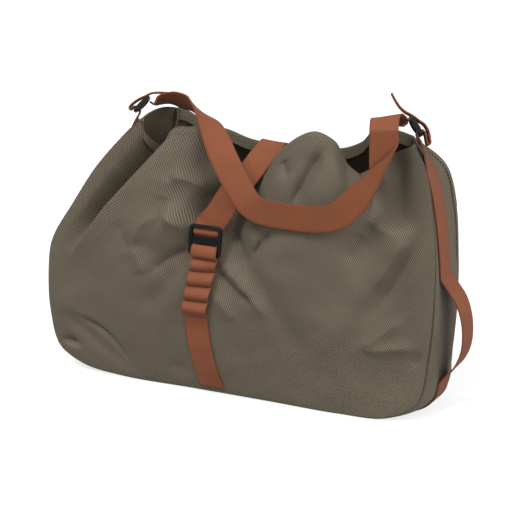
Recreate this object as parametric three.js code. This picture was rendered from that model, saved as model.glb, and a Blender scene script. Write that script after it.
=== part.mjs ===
import * as THREE from "three";

// A soft wader bag standing on the floor: two cloth panels joined by one narrow gusset strip,
// with webbing straps.
// Millimetres. X runs to the right along the front, the front faces -Y, Z is up and the base rests at Z = 0.

// Driving dimensions
const CLOTH_THICK = 1.6;
const WEB_WIDTH = 32;
const WEB_THICK = 1.8;
const FRONT_TRIM = 3.2;
const BACK_TRIM = 1.4;
const HEM_TRIM = 1.2;
const LAY_GAP = 0.9;
const FRONT_BULGE = 27;
const BACK_BULGE = 40;
const LOBE_ROLL = 8;
const GUSSET_HALF = 38;
const GUSSET_CROWN = 7;
const GUSSET_CROWN_SHARE = 0.034;
const SLIDER_WIDTH = 44;
const SLIDER_LENGTH = 26;
const SLIDER_THICK = 3;
const BUCKLE_WIDTH = 40;
const BUCKLE_LENGTH = 39;
const BUCKLE_THICK = 3.4;

// Grid counts along and across each cloth piece
const FRONT_COLUMNS = 40;
const FRONT_ROWS = 22;
const ROLL_ROWS = 4;
const BACK_COLUMNS = 24;
const BACK_ROWS = 12;
const GUSSET_ROWS = 60;
const CARRY_ROWS = 78;

// Each table is a list of rows with these column names
const table = (names, values) =>
  values.map((row) => Object.fromEntries(names.map((name, k) => [name, row[k]])));

// The gusset strip from the left hem, under the base, to the right hem:
// both seams, the half width in Y and the bulge
const GUSSET = table(
  ["front_x", "front_z", "back_x", "back_z", "half", "bulge"],
  [
    [-117, 342, -92, 346, 31, 0],
    [-141, 320, -102, 313, 34, 2],
    [-176, 281, -140, 266, 36, 3],
    [-211, 229, -192, 223, 37, 4],
    [-242, 178, -230, 178, 38, 5],
    [-250, 125, -242, 124, 39, 5],
    [-250, 74, -241, 72, 38, 5],
    [-240, 33, -232, 29, 38, 6],
    [-208, 11, -202, 8, 38, 7],
    [-150, 3, -150, 5, 41, 7],
    [-50, 2, -50, 5, 44, 6],
    [50, 1.5, 50, 5, 48, 6],
    [140, 1.5, 145, 5, 53, 6],
    [200, 5, 220, 6, 52, 8],
    [236, 27, 256, 17, 45, 8],
    [246, 85, 264, 68, 38, 2],
    [249, 145, 267, 135, 38, -3],
    [248, 205, 265, 195, 38, -7],
    [241, 265, 258, 255, 37, -9],
    [231, 309, 244, 300, 35, -8],
    [216, 336, 205, 331, 31, -1],
  ],
);

// The front panel's top edge, by share of the width, with how far the cloth rolls over inwards there
const FRONT_TOP = table(
  ["at", "x", "y", "z", "roll"],
  [
    [0.0, -117, -31, 342, 0],
    [0.05, -111, -28, 324, 0],
    [0.11, -105, -14, 303, 0],
    [0.17, -91, -14, 303, 0.2],
    [0.22, -75, -17, 316, 0.7],
    [0.27, -58, -17, 323, 1],
    [0.35, -40, -15, 324, 1],
    [0.41, -23, -13, 292, 0.7],
    [0.46, 0, -14, 243, 0.4],
    [0.51, 20, -17, 250, 0.4],
    [0.56, 37, -18, 280, 0.7],
    [0.62, 58, -20, 310, 1],
    [0.7, 94, -21, 333, 1],
    [0.77, 117, -21, 323, 1],
    [0.82, 134, -15, 296, 0.5],
    [0.87, 152, -11, 289, 0],
    [0.93, 182, -20, 314, 0],
    [1.0, 216, -31, 336, 0],
  ],
);

// The back panel's top edge
const BACK_TOP = table(
  ["at", "x", "y", "z"],
  [
    [0.0, -92, 31, 346],
    [0.07, -76, 39, 339],
    [0.14, -58, 43, 324],
    [0.22, -30, 45, 320],
    [0.32, 0, 46, 309],
    [0.45, 45, 47, 303],
    [0.62, 105, 47, 304],
    [0.74, 138, 46, 315],
    [0.8, 153, 45, 332],
    [0.9, 182, 41, 334],
    [1.0, 205, 31, 331],
  ],
);

// Pleats of the front panel, low end to high end; the lobe side stands out, the margin side sinks in
const PLEATS = table(
  ["low_x", "low_z", "high_x", "high_z", "lobe_side", "out", "sink", "lap"],
  [
    [-226, 152, -73, 322, 1, 12, 20, 8],
    [174, 238, 130, 326, -1, 9, 18, 7],
  ],
);

// Soft creases of the front panel: depth above zero is a valley, below zero a ridge
const CREASES = table(
  ["low_x", "low_z", "high_x", "high_z", "depth", "width"],
  [
    [84, 96, 2, 214, 6, 17],
    [-88, 204, -30, 276, -6, 14],
    [-96, 122, -44, 200, 5, 14],
    [180, 150, 236, 288, 5, 16],
    [132, 100, 218, 256, -4, 16],
    [-133, 14, -217, 75, 4, 10],
    [77, 248, 107, 316, 4, 10],
    [206, 240, 198, 330, 15, 20],
    [-36, 232, 6, 284, 18, 28],
  ],
);

// The middle of the front webbing on the panel, from the base seam up to the chain of loops
const FRONT_WEBBING = table(
  ["at", "x", "z"],
  [
    [0, -22, 12],
    [0.273, -32, 59],
    [0.576, -38, 112],
    [0.788, -33, 149],
    [1, -26, 185.5],
  ],
);
const CHAIN_START = 0.576;
const CHAIN_LOOPS = 4;
const CHAIN_HEIGHT = 7.5;

// The middle of the shoulder strap from the left slider to its fold and from the fold to the right slider,
// and the direction across it
const STRAP_COLUMNS = ["x", "y", "z", "side_x", "side_y", "side_z"];
const SHOULDER_STRAP = table(STRAP_COLUMNS, [
  [-100, 8, 359, 0, -0.87, 0.45],
  [-80, 1, 361.5, -0.1, -0.68, 0.73],
  [-66, -7, 362.5, -0.02, -0.68, 0.72],
  [-53, -15, 360, 0.25, -0.78, 0.57],
  [-40, -23, 355, 0, -0.95, 0.3],
  [-25, -33, 341, -0.55, -0.83, 0],
  [-4, -46, 308, -0.88, -0.3, -0.25],
  [18, -56, 276, -0.85, -0.15, -0.5],
  [37, -61, 256, -0.55, 0, -0.85],
  [80, -61, 249, -0.1, 0.05, -1],
  [116, -61, 250, 0.15, 0.04, -0.98],
  [137, -61, 256.5, 0.45, 0.06, -0.88],
]);
const STRAP_RISE = table(STRAP_COLUMNS, [
  [181.5, -38, 363.5, -0.96, -0.25, -0.12],
  [182, -29, 366, -0.93, 0, -0.2],
  [185, -16, 363.5, -0.75, 0.52, -0.3],
  [191, -4.5, 357.5, -0.3, 0.9, -0.28],
]);

// The strap's soft diagonal fold: the middle of its fold line, the way along the strap into it,
// the way to the strap's lower edge, the fold line's angle to the strap in degrees,
// the radius of the bend and how far the strap runs flat before and after the middle
const STRAP_FOLD = {
  middle: [178.6, -54.6, 296.5],
  along: [0.72, 0.13, 0.68],
  lower: [0.67, 0.1, -0.73],
  angle: 24.5,
  radius: 2.6,
  reach: 42,
};
const STRAP_ROWS = { drape: 44, fan: 3, bend: 6, rise: 16 };

// The grab loop on the right end: height on the gusset and how far the webbing stands off it
const GRAB_LOOP = table(
  ["at", "off"],
  [
    [42, 0],
    [54, 8],
    [66, 17],
    [84, 24],
    [104, 26],
    [127, 24],
    [147, 18],
    [163, 8],
    [176, 0],
  ],
);
const CARRY_FROM = 0.055;
const CARRY_TO = 0.966;

// The strap sliders: middle, direction across the strap and direction down the strap
const SLIDERS = {
  slider_left: { middle: [-126, 0, 354], across: [-0.37, 0.89, -0.25], down: [-0.61, -0.45, -0.65] },
  slider_right: { middle: [209.5, 0, 350.5], across: [0.21, -0.94, 0.27], down: [0.6, -0.11, -0.79] },
};

// Webbing into a slider, its slack loop outside and its free tail past it,
// as distance down from the slider's middle bar and height over its face
const places = (values) => table(["down", "over"], values);
const SLIDER_IN = {
  slider_left: places([[17, -7.5], [9.5, -5.4], [6, -2.8], [5.2, 0.6], [9.5, 4.6]]),
  slider_right: places([[21, -5.5], [12, -4.4], [7.2, -2.6], [5.2, 0.6], [9.5, 4.6]]),
};
const SLIDER_OUT = places([[-3, 6.5], [-11, 3.6]]);
const SLACK_LOOPS = {
  slider_left: places([[13.5, 4.6], [15, 6.2], [13, 7.8], [6, 8.2]]),
  slider_right: places([[16, 3.2], [22, 0.8], [25.2, 0.7], [25, 3], [19.8, 6], [11.2, 9], [3, 9]]),
};
const TAILS = {
  slider_left: places([[-16, 2.6], [-21, -0.5], [-26, -5], [-31, -10], [-35.5, -14.5]]),
  slider_right: places([[-15.5, 1.4], [-20, -1], [-27, -3], [-36, -3.4], [-46, -2.6]]),
};
const TAIL_SIDES = { slider_left: [-0.6, 0.76, -0.2], slider_right: [-0.19, 0.95, -0.25] };

// The shoulder strap's ends under each slider's inner bar, in the same two distances
const STRAP_ENDS = {
  slider_left: places([[-9.2, -4.4], [-11.5, -10.5]]),
  slider_right: places([[-8, -5.6], [-9.5, -12]]),
};

// The bars of the sliders and of the ladder buckle, from the top down
const SLIDER_BARS = table(["at", "wide"], [[-11, 4], [0, 4], [11, 4]]);
const BUCKLE_BARS = table(["at", "wide"], [[-17.5, 4], [-0.5, 8], [17.5, 4]]);

// Webbing at the ladder buckle, in the same two distances
const TOP_STRAP_THREAD = places([
  [3, -4.6],
  [-0.5, -4.6],
  [-4.5, -3.6],
  [-9.5, -0.6],
  [-14, -2.4],
  [-18, -5],
]);
const FRONT_WEBBING_THREAD = places([
  [20.8, 1.4],
  [17.5, 4],
  [11, 3.6],
  [6.4, 0.2],
  [8.5, -3.9],
  [16, -4.6],
]);
const BUCKLE = { middle: [-26, -54.8, 206.5], across: [-1, 0, 0.04], down: [0, -0.12, -1] };

// The top strap past the buckle: over the mouth to the back hem, then down the back
const TOP_STRAP = table(
  ["x", "y", "z", "side_x", "side_y", "side_z"],
  [
    [-19, -46, 230, -0.96, 0.03, 0.28],
    [-10, -44, 242, -0.86, 0.1, 0.5],
    [-1, -39, 258, -0.86, 0.15, 0.48],
    [6, -26, 270, -0.9, 0.2, 0.4],
    [12, -11, 279, -0.92, 0.2, 0.33],
    [17, 3, 287, -0.94, 0.2, 0.28],
    [22, 19, 297, -0.95, 0.18, 0.22],
    [27, 37, 306, -0.97, 0.12, 0.14],
    [29, 47, 308.5, -1, 0.06, 0.08],
    [30, 54, 302, -1, 0.05, 0.05],
  ],
);
const TOP_STRAP_BACK = 62;

const vector = (x, y, z) => new THREE.Vector3(x, y, z);
const clamp = (value, low, high) => Math.min(high, Math.max(low, value));
const smooth = (value) => clamp(value, 0, 1) ** 2 * (3 - 2 * clamp(value, 0, 1));

// The value of one column at a place along a table, through its rows on a smooth curve
function sample(rows, place, column) {
  const last = rows.length - 1;
  let k = 0;
  while (k < last - 1 && place > rows[k + 1].at) k += 1;
  const slope = (i) => {
    const before = rows[Math.max(i - 1, 0)];
    const after = rows[Math.min(i + 1, last)];
    return (after[column] - before[column]) / (after.at - before.at);
  };
  const span = rows[k + 1].at - rows[k].at;
  const t = clamp((place - rows[k].at) / span, 0, 1);
  const start = (2 * t ** 3 - 3 * t ** 2 + 1) * rows[k][column];
  const end = (3 * t ** 2 - 2 * t ** 3) * rows[k + 1][column];
  const lean = (t ** 3 - 2 * t ** 2 + t) * slope(k) + (t ** 3 - t ** 2) * slope(k + 1);
  return start + end + lean * span;
}

// A closed cloth or webbing wall from a grid of points; its outer face is on the side of across x along
function wall(grid, thick, lift) {
  const rows = grid.length;
  const columns = grid[0].length;
  const normals = grid.map((row) => row.map(() => vector(0, 0, 0)));
  for (let i = 0; i < rows - 1; i += 1) {
    for (let j = 0; j < columns - 1; j += 1) {
      const diagonal = grid[i + 1][j + 1].clone().sub(grid[i][j]);
      const other = grid[i + 1][j].clone().sub(grid[i][j + 1]);
      const face = diagonal.cross(other);
      for (const [k, l] of [[i, j], [i, j + 1], [i + 1, j], [i + 1, j + 1]]) normals[k][l].add(face);
    }
  }
  const corners = [];
  for (const depth of [lift, lift - thick]) {
    grid.forEach((row, i) =>
      row.forEach((point, j) => {
        const moved = point.clone().addScaledVector(normals[i][j].normalize(), depth);
        corners.push(...moved);
      }),
    );
  }
  const at = (i, j, inner) => inner * rows * columns + i * columns + j;
  const faces = [];
  const quad = (a, b, c, d) => faces.push(a, b, c, a, c, d);
  for (let i = 0; i < rows - 1; i += 1) {
    for (let j = 0; j < columns - 1; j += 1) {
      quad(at(i, j, 0), at(i, j + 1, 0), at(i + 1, j + 1, 0), at(i + 1, j, 0));
      quad(at(i, j, 1), at(i + 1, j, 1), at(i + 1, j + 1, 1), at(i, j + 1, 1));
    }
  }
  for (let i = 0; i < rows - 1; i += 1) {
    quad(at(i, 0, 0), at(i + 1, 0, 0), at(i + 1, 0, 1), at(i, 0, 1));
    quad(at(i, columns - 1, 0), at(i, columns - 1, 1), at(i + 1, columns - 1, 1), at(i + 1, columns - 1, 0));
  }
  for (let j = 0; j < columns - 1; j += 1) {
    quad(at(0, j, 0), at(0, j, 1), at(0, j + 1, 1), at(0, j + 1, 0));
    quad(at(rows - 1, j, 0), at(rows - 1, j + 1, 0), at(rows - 1, j + 1, 1), at(rows - 1, j, 1));
  }
  const geometry = new THREE.BufferGeometry();
  geometry.setAttribute("position", new THREE.Float32BufferAttribute(corners, 3));
  geometry.setIndex(faces);
  geometry.computeVertexNormals();
  return geometry;
}

// Even shares from 0 to 1
const shares = (count) => Array.from({ length: count + 1 }, (_, k) => k / count);

// The two seams of the gusset strip
const seam = (points) => new THREE.CatmullRomCurve3(points, false, "centripetal");
const frontSeam = seam(GUSSET.map((row) => vector(row.front_x, -row.half, row.front_z)));
const backSeam = seam(GUSSET.map((row) => vector(row.back_x, row.half, row.back_z)));

// The bulge between the seams, along a curve with the lie of the front seam
const gussetBulge = seam(GUSSET.map((row) => vector(row.front_x, row.bulge, row.front_z)));

// The share of a seam's length that lies nearest a point
function placeOn(curve, x, z) {
  const gaps = shares(600).map((share) => {
    const point = curve.getPointAt(share);
    return [Math.hypot(point.x - x, point.z - z), share];
  });
  return gaps.sort((a, b) => a[0] - b[0])[0][1];
}

// The way out of the bag, in the XZ plane, at a share of the gusset's length
function gussetOut(share) {
  const along = frontSeam.getTangentAt(share).add(backSeam.getTangentAt(share));
  return vector(along.z, 0, -along.x).normalize();
}

// A point of the gusset's outer face; across runs from -1 at the front seam to 1 at the back seam
function gussetPoint(share, across) {
  const point = frontSeam.getPointAt(share).lerp(backSeam.getPointAt(share), (across + 1) / 2);
  point.addScaledVector(gussetOut(share), gussetBulge.getPointAt(share).y * (1 - across ** 4));
  point.z += GUSSET_CROWN * (1 - across ** 2) * smooth(1 - share / GUSSET_CROWN_SHARE);
  const underWebbing = Math.abs(across) < 0.5;
  point.z = Math.max(point.z, underWebbing ? WEB_THICK + LAY_GAP : 0);
  return point;
}

// A four-sided patch between a bottom seam, two side seams and a top edge
function patch(curve, leftCorner, rightCorner, top, u, w) {
  const side = (share) => curve.getPointAt(clamp(share, 0, 1));
  const left = side(leftCorner * (1 - w));
  const right = side(rightCorner + (1 - rightCorner) * w);
  const low = side(leftCorner + (rightCorner - leftCorner) * u);
  const high = vector(sample(top, u, "x"), sample(top, u, "y"), sample(top, u, "z"));
  const point = left.multiplyScalar(1 - u).addScaledVector(right, u);
  point.addScaledVector(low, 1 - w).addScaledVector(high, w);
  point.addScaledVector(side(leftCorner), -(1 - u) * (1 - w));
  point.addScaledVector(side(rightCorner), -u * (1 - w));
  return point.addScaledVector(side(0), -(1 - u) * w).addScaledVector(side(1), -u * w);
}

const frontLeft = placeOn(frontSeam, -236, 26);
const frontRight = placeOn(frontSeam, 232, 24);
const backLeft = placeOn(backSeam, -228, 24);
const backRight = placeOn(backSeam, 247, 14);

// Where a point in front view lies along a fold (0 to 1) and how far beside it
function beside(fold, x, z) {
  const length = Math.hypot(fold.high_x - fold.low_x, fold.high_z - fold.low_z);
  const along_x = (fold.high_x - fold.low_x) / length;
  const along_z = (fold.high_z - fold.low_z) / length;
  const q = ((x - fold.low_x) * along_x + (z - fold.low_z) * along_z) / length;
  const off = (x - fold.low_x) * along_z - (z - fold.low_z) * along_x;
  return { q, off, out_x: along_z, out_z: -along_x };
}

// Push a front point by the pleats and creases; hold is 0 at the seams and 1 inside the panel
function fold(point, hold) {
  const { x, z } = point;
  for (const pleat of PLEATS) {
    const place = beside(pleat, x, z);
    const off = place.off * pleat.lobe_side;
    const strength = smooth(place.q * 2) * hold;
    const lobe = Math.exp(-Math.max(off, 0) / 40) / (1 + Math.exp(-off / 3));
    const margin = Math.exp(-(((off + 15) / 14) ** 2));
    point.y += strength * (pleat.sink * margin - pleat.out * lobe);
    const shift = Math.exp(-(((off + 9) / 8) ** 2)) - Math.exp(-(((off - 4) / 9) ** 2));
    point.x += strength * pleat.lap * shift * pleat.lobe_side * place.out_x;
    point.z += strength * pleat.lap * shift * pleat.lobe_side * place.out_z;
  }
  for (const crease of CREASES) {
    const place = beside(crease, x, z);
    const ends = smooth((place.q + 0.25) * 3) * smooth((1.25 - place.q) * 3);
    point.y += crease.depth * ends * hold * Math.exp(-((place.off / crease.width) ** 2));
  }
  return point;
}

// A point of the front panel's outer face, u across from the left and w up from the base seam
function frontPoint(u, w) {
  const rise = Math.min(w, 1);
  const point = patch(frontSeam, frontLeft, frontRight, FRONT_TOP, u, rise);
  const across = (4 * u * (1 - u)) ** 0.6;
  point.y -= FRONT_BULGE * across * Math.sin(Math.PI * rise) ** 0.8;
  const hold = smooth(u * 14) * smooth((1 - u) * 14) * smooth(rise * 6);
  fold(point, hold);
  if (w > 1) {
    const turn = Math.PI * (w - 1);
    const roll = sample(FRONT_TOP, u, "roll");
    const radius = LOBE_ROLL * roll;
    point.y += radius * (1 - Math.cos(turn)) + 0.4 * (w - 1);
    point.z += radius * Math.sin(turn) - radius * 0.8 * (w - 1) + 2.5 * (w - 1) * (1 - roll);
  }
  return point;
}

// A point of the back panel's outer face, u across from the left and w up from the base seam
function backPoint(u, w) {
  const point = patch(backSeam, backLeft, backRight, BACK_TOP, u, w);
  const across = (4 * u * (1 - u)) ** 0.6;
  point.y += BACK_BULGE * across * Math.sin(Math.PI * w) ** 0.8;
  return point;
}

// The point of a panel that shows at x and z in front view, with its outward direction
function landOn(surface, x, z, outward) {
  let u = clamp(x / 460 + 0.5, 0.05, 0.95);
  let w = clamp(z / 310, 0.03, 0.95);
  const step = 1e-3;
  for (let turn = 0; turn < 12; turn += 1) {
    const here = surface(u, w);
    const by_u = surface(u + step, w).sub(here).divideScalar(step);
    const by_w = surface(u, w + step).sub(here).divideScalar(step);
    const scale = by_u.x * by_w.z - by_w.x * by_u.z;
    u = clamp(u + ((x - here.x) * by_w.z - (z - here.z) * by_w.x) / scale, 0.01, 0.99);
    w = clamp(w + ((z - here.z) * by_u.x - (x - here.x) * by_u.z) / scale, 0.01, 0.995);
  }
  const point = surface(u, w);
  const by_u = surface(u + step, w).sub(point);
  const by_w = surface(u, w + step).sub(point);
  return { point, normal: by_u.cross(by_w).normalize().multiplyScalar(outward) };
}

// The points across a webbing from edge to edge, with its middle and the direction across it
function edges(middle, side, cells) {
  const across = side.clone().setLength(WEB_WIDTH);
  return shares(cells).map((share) => middle.clone().addScaledVector(across, share - 0.5));
}

// Rows of webbing through middles and sides on a smooth curve
function strapRows(middles, sides, count, cells = 1) {
  const path = new THREE.CatmullRomCurve3(middles, false, "centripetal");
  const turn = new THREE.CatmullRomCurve3(sides, false, "catmullrom");
  return shares(count).map((share) => {
    const along = path.getTangent(share);
    const side = turn.getPoint(share);
    side.addScaledVector(along, -side.dot(along));
    return edges(path.getPoint(share), side, cells);
  });
}

// A right-handed frame for a slider or buckle: across, down the strap and over its face
function bench(middle, across, down) {
  const a = across.clone().normalize();
  const d = down.clone().addScaledVector(a, -down.dot(a)).normalize();
  return { middle, across: a, down: d, over: a.clone().cross(d).normalize() };
}
const onBench = (frame, place) =>
  frame.middle.clone().addScaledVector(frame.down, place.down).addScaledVector(frame.over, place.over);

// A flat plastic frame with slots between its bars, in its bench
function barFrame(frame, [width, length, thick], bars, slotHalf) {
  const shape = new THREE.Shape();
  const corner = 5;
  const [half, reach] = [width / 2 - 0.6, length / 2 - 0.6];
  shape.moveTo(-half + corner, -reach);
  shape.lineTo(half - corner, -reach);
  shape.quadraticCurveTo(half, -reach, half, -reach + corner);
  shape.lineTo(half, reach - corner);
  shape.quadraticCurveTo(half, reach, half - corner, reach);
  shape.lineTo(-half + corner, reach);
  shape.quadraticCurveTo(-half, reach, -half, reach - corner);
  shape.lineTo(-half, -reach + corner);
  shape.quadraticCurveTo(-half, -reach, -half + corner, -reach);
  for (let k = 0; k < bars.length - 1; k += 1) {
    const slot = new THREE.Path();
    const low = bars[k].at + bars[k].wide / 2 + 0.5;
    const high = bars[k + 1].at - bars[k + 1].wide / 2 - 0.5;
    slot.moveTo(-slotHalf, low);
    slot.lineTo(-slotHalf, high);
    slot.lineTo(slotHalf, high);
    slot.lineTo(slotHalf, low);
    slot.closePath();
    shape.holes.push(slot);
  }
  const geometry = new THREE.ExtrudeGeometry(shape, {
    depth: thick - 1,
    bevelThickness: 0.5,
    bevelSize: 0.5,
    bevelSegments: 1,
    curveSegments: 4,
  });
  geometry.translate(0, 0, -(thick - 1) / 2);
  const place = new THREE.Matrix4().makeBasis(frame.across, frame.down, frame.over);
  geometry.applyMatrix4(place.setPosition(frame.middle));
  return geometry;
}

const materials = {
  cloth: new THREE.MeshStandardMaterial({ color: 0x6f6a5c, roughness: 0.9, metalness: 0 }),
  webbing: new THREE.MeshStandardMaterial({ color: 0xb35c38, roughness: 0.8, metalness: 0 }),
  plastic: new THREE.MeshStandardMaterial({ color: 0x202022, roughness: 0.45, metalness: 0 }),
};
const bag = new THREE.Group();
bag.name = "wader_bag";

// Add one named piece
function piece(name, geometry, material) {
  const mesh = new THREE.Mesh(geometry, materials[material]);
  mesh.name = name;
  bag.add(mesh);
}

// Front panel, with its lobes rolled over inwards
const frontShares = shares(FRONT_COLUMNS).map((share) => 0.003 + 0.994 * share);
const frontRises = [
  ...shares(FRONT_ROWS).map((share) => 0.004 + 0.996 * share),
  ...shares(ROLL_ROWS).slice(1).map((share) => 1 + share),
];
piece(
  "front_panel",
  wall(frontRises.map((w) => frontShares.map((u) => frontPoint(u, w))), CLOTH_THICK, 0),
  "cloth",
);

// Back panel, taken from right to left so that its outer face looks back
const backShares = shares(BACK_COLUMNS).map((share) => 0.997 - 0.994 * share);
const backRises = shares(BACK_ROWS).map((share) => 0.004 + 0.996 * share);
piece(
  "back_panel",
  wall(backRises.map((w) => backShares.map((u) => backPoint(u, w))), CLOTH_THICK, 0),
  "cloth",
);

// Gusset strip, trimmed where the panels cover its edges
const gussetAcross = [-1, -0.78, -0.53, -0.47, 0, 0.47, 0.53, 0.78, 1];
piece(
  "gusset_strip",
  wall(
    shares(GUSSET_ROWS).map((share) => {
      const hem = HEM_TRIM * (1 - smooth(Math.min(share, 1 - share) * 30));
      const half = Math.max(Math.abs(frontSeam.getPointAt(share).y), GUSSET_HALF);
      const trim = (across) => ((across < 0 ? FRONT_TRIM : BACK_TRIM) + hem) / half;
      return gussetAcross.map((across) => gussetPoint(share, across * (1 - trim(across))));
    }),
    CLOTH_THICK,
    0,
  ),
  "cloth",
);

// Sliders
const sliderBench = {};
for (const [name, slider] of Object.entries(SLIDERS)) {
  sliderBench[name] = bench(vector(...slider.middle), vector(...slider.across), vector(...slider.down));
  const size = [SLIDER_WIDTH, SLIDER_LENGTH, SLIDER_THICK];
  piece(name, barFrame(sliderBench[name], size, SLIDER_BARS, WEB_WIDTH / 2 + 1.6), "plastic");
}

// How far the carry webbing stands off the gusset at a place; it lies flat outside the grab loop
function standOff(point) {
  const inLoop = point.x > 0 && point.z > GRAB_LOOP[0].at && point.z < GRAB_LOOP.at(-1).at;
  return inLoop ? Math.max(sample(GRAB_LOOP, point.z, "off"), 0) : 0;
}

// Carry webbing on the gusset, between the places where it leaves for the sliders
const carryShares = shares(CARRY_ROWS).map((share) => CARRY_FROM + (CARRY_TO - CARRY_FROM) * share);
const carryMiddle = (share) => {
  const middle = gussetPoint(share, 0);
  const lift = LAY_GAP + WEB_THICK / 2 + standOff(middle);
  middle.addScaledVector(gussetOut(share), lift);
  middle.z = Math.max(middle.z, WEB_THICK / 2);
  return middle;
};
const carrySide = (share) => gussetPoint(share, 0.42).sub(gussetPoint(share, -0.42)).normalize();
const carryOnGusset = carryShares.map((share) => edges(carryMiddle(share), carrySide(share), 1));

// Carry webbing from the gusset through a slider to its free tail
function carryEnd(name, share, count) {
  const frame = sliderBench[name];
  const threaded = [...SLIDER_IN[name], ...SLACK_LOOPS[name], ...SLIDER_OUT];
  const middles = [...threaded, ...TAILS[name]].map((place) => onBench(frame, place));
  const back = frame.across.clone().multiplyScalar(Math.sign(frame.across.y));
  const tailSide = vector(...TAIL_SIDES[name]);
  const turned = shares(TAILS[name].length).slice(1).map((turn) => back.clone().lerp(tailSide, turn));
  const sides = [...threaded.map(() => back), ...turned];
  return strapRows([carryMiddle(share), ...middles], [carrySide(share), ...sides], count).slice(1);
}
const carryRows = [
  ...carryEnd("slider_left", carryShares[0], 40).reverse(),
  ...carryOnGusset,
  ...carryEnd("slider_right", carryShares.at(-1), 42),
];
piece("carry_webbing", wall(carryRows, WEB_THICK, WEB_THICK / 2), "webbing");

// The fold's own directions: along and across the strap, along and across the fold line, and out of the bag
const foldAlong = vector(...STRAP_FOLD.along).normalize();
const foldLower = vector(...STRAP_FOLD.lower).projectOnPlane(foldAlong).normalize();
const foldOut = foldLower.clone().cross(foldAlong);
const foldSine = Math.sin((STRAP_FOLD.angle * Math.PI) / 180);
const foldCosine = Math.cos((STRAP_FOLD.angle * Math.PI) / 180);
const foldLine = foldAlong.clone().multiplyScalar(foldCosine).addScaledVector(foldLower, -foldSine);
const foldPast = foldAlong.clone().multiplyScalar(foldSine).addScaledVector(foldLower, foldCosine);
const foldRun = (Math.PI * STRAP_FOLD.radius) / foldSine;

// A place on the folded strap: how far along it past the fold's middle, and how far towards its lower edge
function foldedPlace(along, lower) {
  const past = along * foldSine + lower * foldCosine;
  const turn = clamp(past / STRAP_FOLD.radius, 0, Math.PI);
  const beyond = Math.max(past - Math.PI * STRAP_FOLD.radius, 0);
  const point = vector(...STRAP_FOLD.middle).addScaledVector(foldLine, along * foldCosine - lower * foldSine);
  point.addScaledVector(foldPast, Math.min(past, 0) + STRAP_FOLD.radius * Math.sin(turn) - beyond);
  return point.addScaledVector(foldOut, -STRAP_FOLD.radius * (1 - Math.cos(turn)));
}

// Rows of the fold: square to the strap, fanned round to the fold line, over the bend and fanned back
function foldRows() {
  const slant = ((WEB_WIDTH / 2) * foldCosine) / foldSine;
  const { reach } = STRAP_FOLD;
  const fan = shares(STRAP_ROWS.fan);
  const bend = shares(STRAP_ROWS.bend).slice(1);
  const runs = [
    ...fan.map((share) => [-reach + share * (reach + slant), -reach + share * (reach - slant)]),
    ...bend.map((share) => [slant + share * foldRun, -slant + share * foldRun]),
    ...fan.slice(1).map((share) => [
      slant + foldRun + share * (reach - slant),
      -slant + foldRun + share * (reach + slant),
    ]),
  ];
  return runs.map(([upper, lower]) => [
    foldedPlace(upper, -WEB_WIDTH / 2),
    foldedPlace(lower, WEB_WIDTH / 2),
  ]);
}

// Shoulder strap between the inner bars of the sliders: the drape, the fold and the rise to the right slider
function strapEnd(name) {
  const frame = sliderBench[name];
  return STRAP_ENDS[name].map((place) => onBench(frame, place));
}
const strapMiddle = (row) => vector(row.x, row.y, row.z);
const strapSide = (row) => vector(row.side_x, row.side_y, row.side_z);
const leftAcross = sliderBench.slider_left.across.clone().negate();
const rightAcross = sliderBench.slider_right.across.clone().negate();
const foldBack = foldLine.clone().multiplyScalar(-foldSine).addScaledVector(foldPast, -foldCosine);
const drape = strapRows(
  [...strapEnd("slider_left"), ...SHOULDER_STRAP.map(strapMiddle), foldedPlace(-STRAP_FOLD.reach, 0)],
  [leftAcross, leftAcross, ...SHOULDER_STRAP.map(strapSide), foldLower],
  STRAP_ROWS.drape,
);
const rise = strapRows(
  [
    foldedPlace(STRAP_FOLD.reach + foldRun, 0),
    ...STRAP_RISE.map(strapMiddle),
    ...strapEnd("slider_right").reverse(),
  ],
  [foldBack, ...STRAP_RISE.map(strapSide), rightAcross, rightAcross],
  STRAP_ROWS.rise,
);
const shoulderRows = [...drape.slice(0, -1), ...foldRows(), ...rise.slice(1)];
piece("shoulder_strap", wall(shoulderRows, WEB_THICK, WEB_THICK / 2), "webbing");

// Ladder buckle, standing just off the front panel
const buckleBench = bench(vector(...BUCKLE.middle), vector(...BUCKLE.across), vector(...BUCKLE.down));
const buckleSize = [BUCKLE_WIDTH, BUCKLE_LENGTH, BUCKLE_THICK];
piece("ladder_buckle", barFrame(buckleBench, buckleSize, BUCKLE_BARS, WEB_WIDTH / 2 + 0.7), "plastic");

// Front webbing: flat from the base seam, then a chain of loops, then round the buckle's low bar
function frontWebbingRow(share) {
  const x = sample(FRONT_WEBBING, share, "x");
  const z = sample(FRONT_WEBBING, share, "z");
  const chain = clamp((share - CHAIN_START) / (1 - CHAIN_START), 0, 1);
  const loop = CHAIN_HEIGHT * Math.abs(Math.sin(Math.PI * CHAIN_LOOPS * chain));
  return [0.5, 0, -0.5].map((across) => {
    const spot = landOn(frontPoint, x + across * WEB_WIDTH, z, 1);
    return spot.point.addScaledVector(spot.normal, LAY_GAP + WEB_THICK / 2 + loop);
  });
}
function threadRows(thread, count) {
  const middles = thread.map((place) => onBench(buckleBench, place));
  const sides = thread.map(() => buckleBench.across.clone());
  return strapRows(middles, sides, count, 2);
}
const sewnShares = [
  ...shares(10).slice(0, -1).map((share) => CHAIN_START * share),
  ...shares(8 * CHAIN_LOOPS).map((share) => CHAIN_START + (1 - CHAIN_START) * share),
];
const frontWebbingRows = [...sewnShares.map(frontWebbingRow), ...threadRows(FRONT_WEBBING_THREAD, 16)];
piece("front_webbing", wall(frontWebbingRows, WEB_THICK, WEB_THICK / 2), "webbing");

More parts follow.
